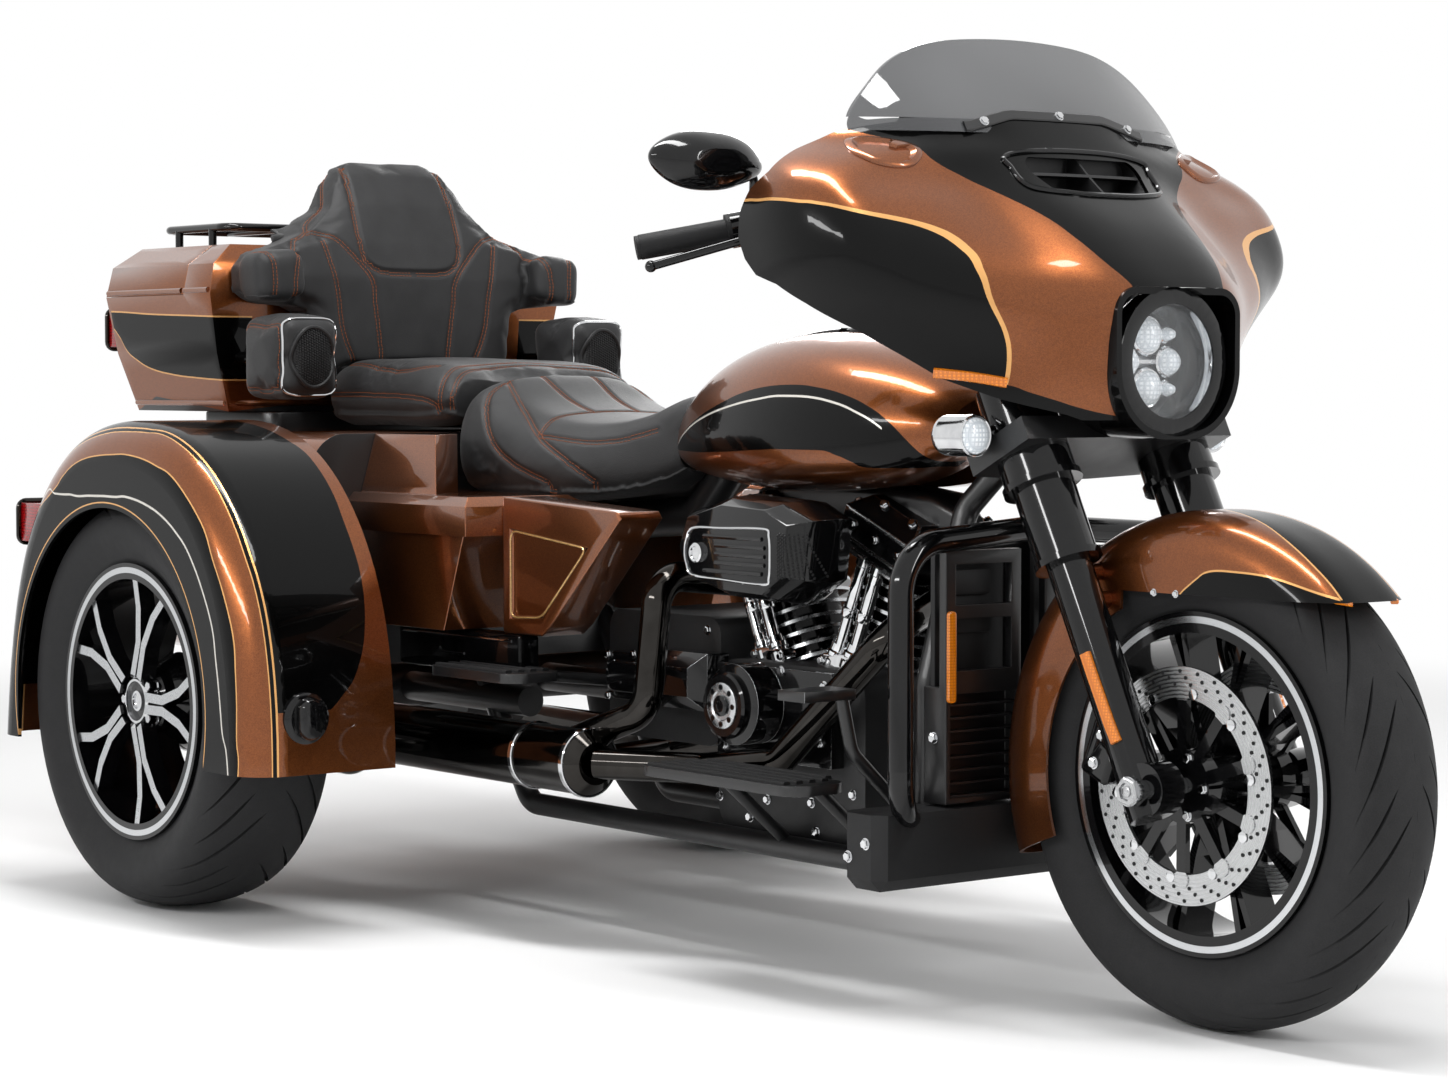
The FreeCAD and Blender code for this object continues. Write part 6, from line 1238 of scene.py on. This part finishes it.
gauges = {"x": 638, "dials": [(-58, 1108, 36), (58, 1108, 36), (-138, 1104, 24), (138, 1104, 24), (-196, 1100, 20),
                              (196, 1100, 20)],
          "speakerRing": [(0, 40), (5, 40), (7, 38), (5, 36), (0, 36), (0, 40)], "speakerY": 290, "speakerZ": 1092,
          "ticks": 13, "tickFromDeg": -45, "tickStepDeg": 22.5, "needleDeg": 200}
mirrorGlass = {"middle": (300, -409, 1105), "wide": 74, "high": 37,
               "rise": [(1.0, -0.5), (1.0, 1.0), (0.97, 1.4), (0.5, 1.4)]}
fuelCap = {"middle": (330, 0, 1100), "radius": 36,
           "rise": [(1.0, -1), (1.0, 3), (0.94, 5), (0.8, 5.5), (0.78, 4), (0.3, 4.5)]}


def dressControls():
    loop = ellipse(mirrorGlass["middle"], yAxis, zAxis, mirrorGlass["wide"], mirrorGlass["high"])
    build("mirror_glass", "chrome", (addDome, meshTree("mirrors"), loop, mirrorGlass["rise"], xAxis),
          body="steering", mirrored=True)
    rings, faces, marks = Shape(), Shape(), Shape()
    x = gauges["x"]
    for y, z, radius in gauges["dials"]:
        addTurned(rings, (x, y, z), rearward, [
            (0, radius + 5), (8, radius + 5), (10, radius + 3), (9, radius), (0, radius), (0, radius + 5)], 40)
        addTurned(faces, (x, y, z), rearward, [(0, radius), (2, radius), (2, 0.2)], 40)
        for k in range(gauges["ticks"]):
            t = math.radians(gauges["tickFromDeg"] + gauges["tickStepDeg"] * k)
            out, middle = Vector((0, math.cos(t), math.sin(t))), Vector((x - 2.4, y, z))
            inner = 0.72 if k % 3 == 0 else 0.82
            addTube(marks, [middle + out * radius * 0.92, middle + out * radius * inner], 0.7, 4)
        t = math.radians(gauges["needleDeg"])
        tip = (x - 3.4, y + radius * 0.7 * math.cos(t), z + radius * 0.7 * math.sin(t))
        addTube(marks, [(x - 3.4, y, z), tip], 0.9, 4)
    for y in (-gauges["speakerY"], gauges["speakerY"]):
        addTurned(rings, (x, y, gauges["speakerZ"]), rearward, gauges["speakerRing"], 40)
        for k in range(-2, 3):
            reachY, z = 33 * math.cos(math.asin(k / 2.6)), gauges["speakerZ"] + 13 * k
            addTube(rings, [(x - 2, y - reachY, z), (x - 2, y + reachY, z)], 2.5, 6)
    makePiece(rings, "gauge_rings", "darkChrome", "steering")
    makePiece(faces, "gauge_faces", "plastic", "steering")
    makePiece(marks, "gauge_marks", "silver", "steering")
    tank = meshTree("fuel_tank")
    loop = ellipse(fuelCap["middle"], xAxis, yAxis, fuelCap["radius"], fuelCap["radius"])
    build("fuel_cap", "glossMetal", (addDome, tank, loop, fuelCap["rise"], downward))
    line = drape(tank, [(x, 0, 1100) for x in range(30, 285, 12)], downward)
    build("tank_console", "glossMetal", (addStrip, line, 42, 6))


pods = {"edge": [(-736, -242, 806), (-736, -335, 806), (-736, -341, 830), (-736, -341, 900), (-736, -333, 920),
                 (-736, -244, 920), (-736, -236, 900), (-736, -236, 826)],
        "middle": (-600, -288, 862), "wide": 38, "high": 48, "netWide": 35, "netHigh": 45,
        "hole": [(0, 1.9), (1.4, 1.5), (1.9, 0.2)]}


def dressPods():
    tree, net = meshTree(bpy.data.objects["soft_speaker_pods"]), Shape()
    x, y, z = pods["middle"]
    for column in range(-8, 9):
        for row in range(-11, 12):
            across, up = column * 4.4, row * 4.2 + (column % 2) * 2.1
            if (across / pods["netWide"]) ** 2 + (up / pods["netHigh"]) ** 2 < 1:
                for place, normal in drape(tree, [(x, y + across, z + up)], rearward, 1):
                    addTurned(net, place, normal, pods["hole"], 6)
    piping = placesOf(nearSurface(tree, smoothPath(pods["edge"], 8, closed=True), 0.8))
    build("pod_piping", "chrome", (addTube, piping, 2.3, 8, True), mirrored=True)
    ring = placesOf(drape(tree, ellipse(pods["middle"], yAxis, zAxis, pods["wide"], pods["high"]), rearward, 1.5))
    build("speaker_rings", "plastic", (addTube, ring, 3.6, 8, True), mirrored=True)
    makePiece(net, "speaker_mesh", "plastic", mirrored=True)


rear = {
    "cap": (-268, -581, 330), "capBase": [(0, 39), (6, 38), (9, 34), (10, 28)],
    "capPanel": ((6, 0), (20, 0), (25, -3), (27, -8)),
    "lampFrames": [(-337, -271, 879, 947, -1334), (-647, -565, 560, 628, -1056)],
    "handle": [(-1164, -250, 640), (-1184, -250, 636), (-1186, -250, 600), (-1184, -250, 566), (-1164, -250, 562)]}


def dressRear():
    x, y, z = rear["cap"]
    panel = [[Vector((x + height, y + a, z + b)) for a, b in roundedOutline(38 + 2 * grow, 62 + 2 * grow, 18 + grow)]
             for height, grow in rear["capPanel"]]
    build("fender_caps", "glossMetal", (addTurned, rear["cap"], xAxis, rear["capBase"], 40), (addRings, panel),
          mirrored=True)
    loops = [[(x, (y0 + y1) / 2 + a, (z0 + z1) / 2 + b) for a, b in roundedOutline(y1 - y0, z1 - z0, 12)]
             for y0, y1, z0, z1, x in rear["lampFrames"]]
    build("tail_lamp_frames", "darkChrome", *[(addTube, loop, 4.5, 8, True) for loop in loops], mirrored=True)
    build("blank_plate", "silver", (addPanel, (-1165, 0, 520), right, zAxis, 190, 110, 8, 3, 1), body="trunk_door")
    build("trunk_handle", "chrome", (addTube, smoothPath(rear["handle"], 5), 6, 10), body="trunk_door")


# Case rims: where a level line meets the case, found by looking in from outside at each angle
caseRims = {"centre": (-1130, 0), "lidLevel": 974.5, "flangeLevel": 786, "radius": 5, "stepDeg": 4,
            "deck": range(-1033, -950, 10)}


def caseLevel(tree, level, fromDeg, toDeg):
    cx, cy = caseRims["centre"]
    points = []
    for degrees in range(fromDeg, toDeg, -caseRims["stepDeg"]):
        out = Vector((math.cos(math.radians(degrees)), math.sin(math.radians(degrees)), 0))
        hit = tree.ray_cast(Vector((cx, cy, level)) + out * 700, -out)
        if hit[0] is not None:
            points.append(hit[0])
    return points


def dressCase():
    tree, level, radius = meshTree("tour_pack_tub", "tour_pack_lid"), caseRims["lidLevel"], caseRims["radius"]
    build("case_lid_rim", "copper", (addTube, caseLevel(tree, level, -76, -236), radius, 10), body="case_lid")
    deck = [tree.ray_cast(Vector((x, -700, level)), Vector(yAxis))[0] for x in caseRims["deck"]]
    build("case_deck_rim", "copper", (addTube, deck, radius, 10), mirrored=True)
    build("case_flange", "copper", (addTube, caseLevel(tree, caseRims["flangeLevel"], 0, -360), radius, 10, True))
    build("case_plinth", "powder", (addPanel, (-1050, 0, 742), xAxis, yAxis, 230, 500, 30, 29, 3))


# Black rail under the side boxes with its bright lines, and the gold line round the side cover's field
sideTrim = {"lines": [[(-430, -304, 438), (-135, -304, 438)], [(-330, -304, 412), (-262, -304, 412)]],
            "field": [(-144, -299.6, 603), (49, -299.6, 583), (-64, -299.6, 477), (-144, -299.6, 473)], "corner": 16}


def dressSides():
    build("side_rails", "black", (addPanel, (-280, -270, 417), xAxis, zAxis, 330, 62, 8, 34, 4), mirrored=True)
    build("side_rail_lines", "chrome", *[(addTube, line, 2.2) for line in sideTrim["lines"]], mirrored=True)
    corners = [Vector(p) for p in sideTrim["field"]]
    loop = []
    for i, corner in enumerate(corners):
        start, end = [corner + (corners[j] - corner).normalized() * sideTrim["corner"] for j in (i - 1, (i + 1) % 4)]
        loop += [(1 - t) ** 2 * start + 2 * t * (1 - t) * corner + t * t * end for t in (0, 0.25, 0.5, 0.75, 1)]
    build("side_cover_stripe", "gold", (addTube, loop, 1.5, 6, True), mirrored=True)


for dress in (dressFairing, dressHeadlamp, dressWheelHardware, dressFork, dressEngine, dressAirCleaner, dressFloor,
              dressControls, dressPods, dressRear, dressCase, dressSides):
    dress()
print("hardware on every body")


# Studio: pale floor that fades into a white sweep, soft lamps above and beside the trike
studio = {"floorHalf": 9.0, "fadeFrom": 2.6, "fadeTo": 5.5, "floorColour": "#F4F4F4", "fillStrength": 0.55}


def buildFloor():
    half = studio["floorHalf"]
    mesh = bpy.data.meshes.new("studio_floor")
    mesh.from_pydata([(-half, -half, 0), (half, -half, 0), (half, half, 0), (-half, half, 0)], [], [(0, 1, 2, 3)])
    floor = bpy.data.objects.new("studio_floor", mesh)
    bpy.context.scene.collection.objects.link(floor)
    material, tree, shader, place = startMaterial("paper_sweep_matt", {
        "Base Color": linear(studio["floorColour"]), "Roughness": 0.9})
    distance = addNode(tree, "ShaderNodeVectorMath", {"operation": "LENGTH"}, {0: (place, "Object")})
    fade = addNode(tree, "ShaderNodeMapRange", {
        "interpolation_type": "SMOOTHSTEP", "From Min": studio["fadeFrom"], "From Max": studio["fadeTo"]},
        {"Value": (distance, "Value")})
    white = addNode(tree, "ShaderNodeEmission", {"Color": linear("#FFFFFF"), "Strength": 1.0})
    mix = addNode(tree, "ShaderNodeMixShader", {}, {
        0: (fade, "Result"), 1: (shader, "BSDF"), 2: (white, "Emission")})
    feed((mix, "Shader"), tree.nodes["Material Output"], "Surface")
    mesh.materials.append(material)


def buildWorld():
    world = bpy.data.worlds.new("studio_sweep")
    bpy.context.scene.world = world
    world.use_nodes = True
    tree = world.node_tree
    fill = tree.nodes["Background"]
    fill.inputs["Color"].default_value = linear("#FFFFFF")
    fill.inputs["Strength"].default_value = studio["fillStrength"]
    rays = addNode(tree, "ShaderNodeLightPath")
    glossy = calc("ADD", (rays, "Is Glossy Ray"), (rays, "Is Transmission Ray"))
    seen = addNode(tree, "ShaderNodeMath", {"operation": "ADD", "use_clamp": True}, {
        0: (rays, "Is Camera Ray"), 1: glossy})
    sweep = addNode(tree, "ShaderNodeBackground", {"Color": linear("#FFFFFF"), "Strength": 1.0})
    mix = addNode(tree, "ShaderNodeMixShader", {}, {
        0: (seen, "Value"), 1: (fill, "Background"), 2: (sweep, "Background")})
    feed((mix, "Shader"), tree.nodes["World Output"], "Surface")


lamps = {
    "top_softbox": {"at": (0.2, -0.5, 3.2), "aim": (0.1, 0, 0.6), "size": (3.0, 0.4), "power": 84},
    "right_softbox": {"at": (0.4, -3.6, 2.0), "aim": (0.1, 0, 0.6), "size": (2.8, 0.2), "power": 46},
    "front_strip": {"at": (4.0, 1.2, 1.9), "aim": (0.6, 0, 0.7), "size": (0.25, 1.8), "power": 32},
    "back_strip": {"at": (-2.6, 2.6, 2.4), "aim": (-0.2, 0, 0.7), "size": (1.4, 1.4), "power": 35}}


# Adds a lamp or a camera that looks along a direction
def addLooking(name, data, at, direction):
    item = bpy.data.objects.new(name, data)
    bpy.context.scene.collection.objects.link(item)
    item.location = at
    item.rotation_mode = "QUATERNION"
    item.rotation_quaternion = direction.to_track_quat("-Z", "Y")
    return item


def buildLamps():
    for name, lamp in lamps.items():
        data = bpy.data.lights.new(name, "AREA")
        data.shape = "RECTANGLE"
        data.size, data.size_y = lamp["size"]
        data.energy = lamp["power"]
        addLooking(name, data, lamp["at"], Vector(lamp["aim"]) - Vector(lamp["at"]))


# Camera fitted to the wheel and disc ellipses of the photograph
cameraSet = {"at": (4.02624, -3.15185, 0.83122), "azimuth": 0.90815, "down": 0.04903, "lens": 84.515, "sensor": 36.0}


def buildCamera():
    data = bpy.data.cameras.new("photo_camera")
    data.sensor_width, data.lens = cameraSet["sensor"], cameraSet["lens"]
    turn, down = cameraSet["azimuth"], cameraSet["down"]
    back = Vector((math.sin(turn) * math.cos(down), -math.cos(turn) * math.cos(down), math.sin(down)))
    bpy.context.scene.camera = addLooking("photo_camera", data, cameraSet["at"], -back)


buildFloor()
buildWorld()
buildLamps()
buildCamera()
view = bpy.context.scene.view_settings
view.view_transform = "Standard"
print("studio ready")
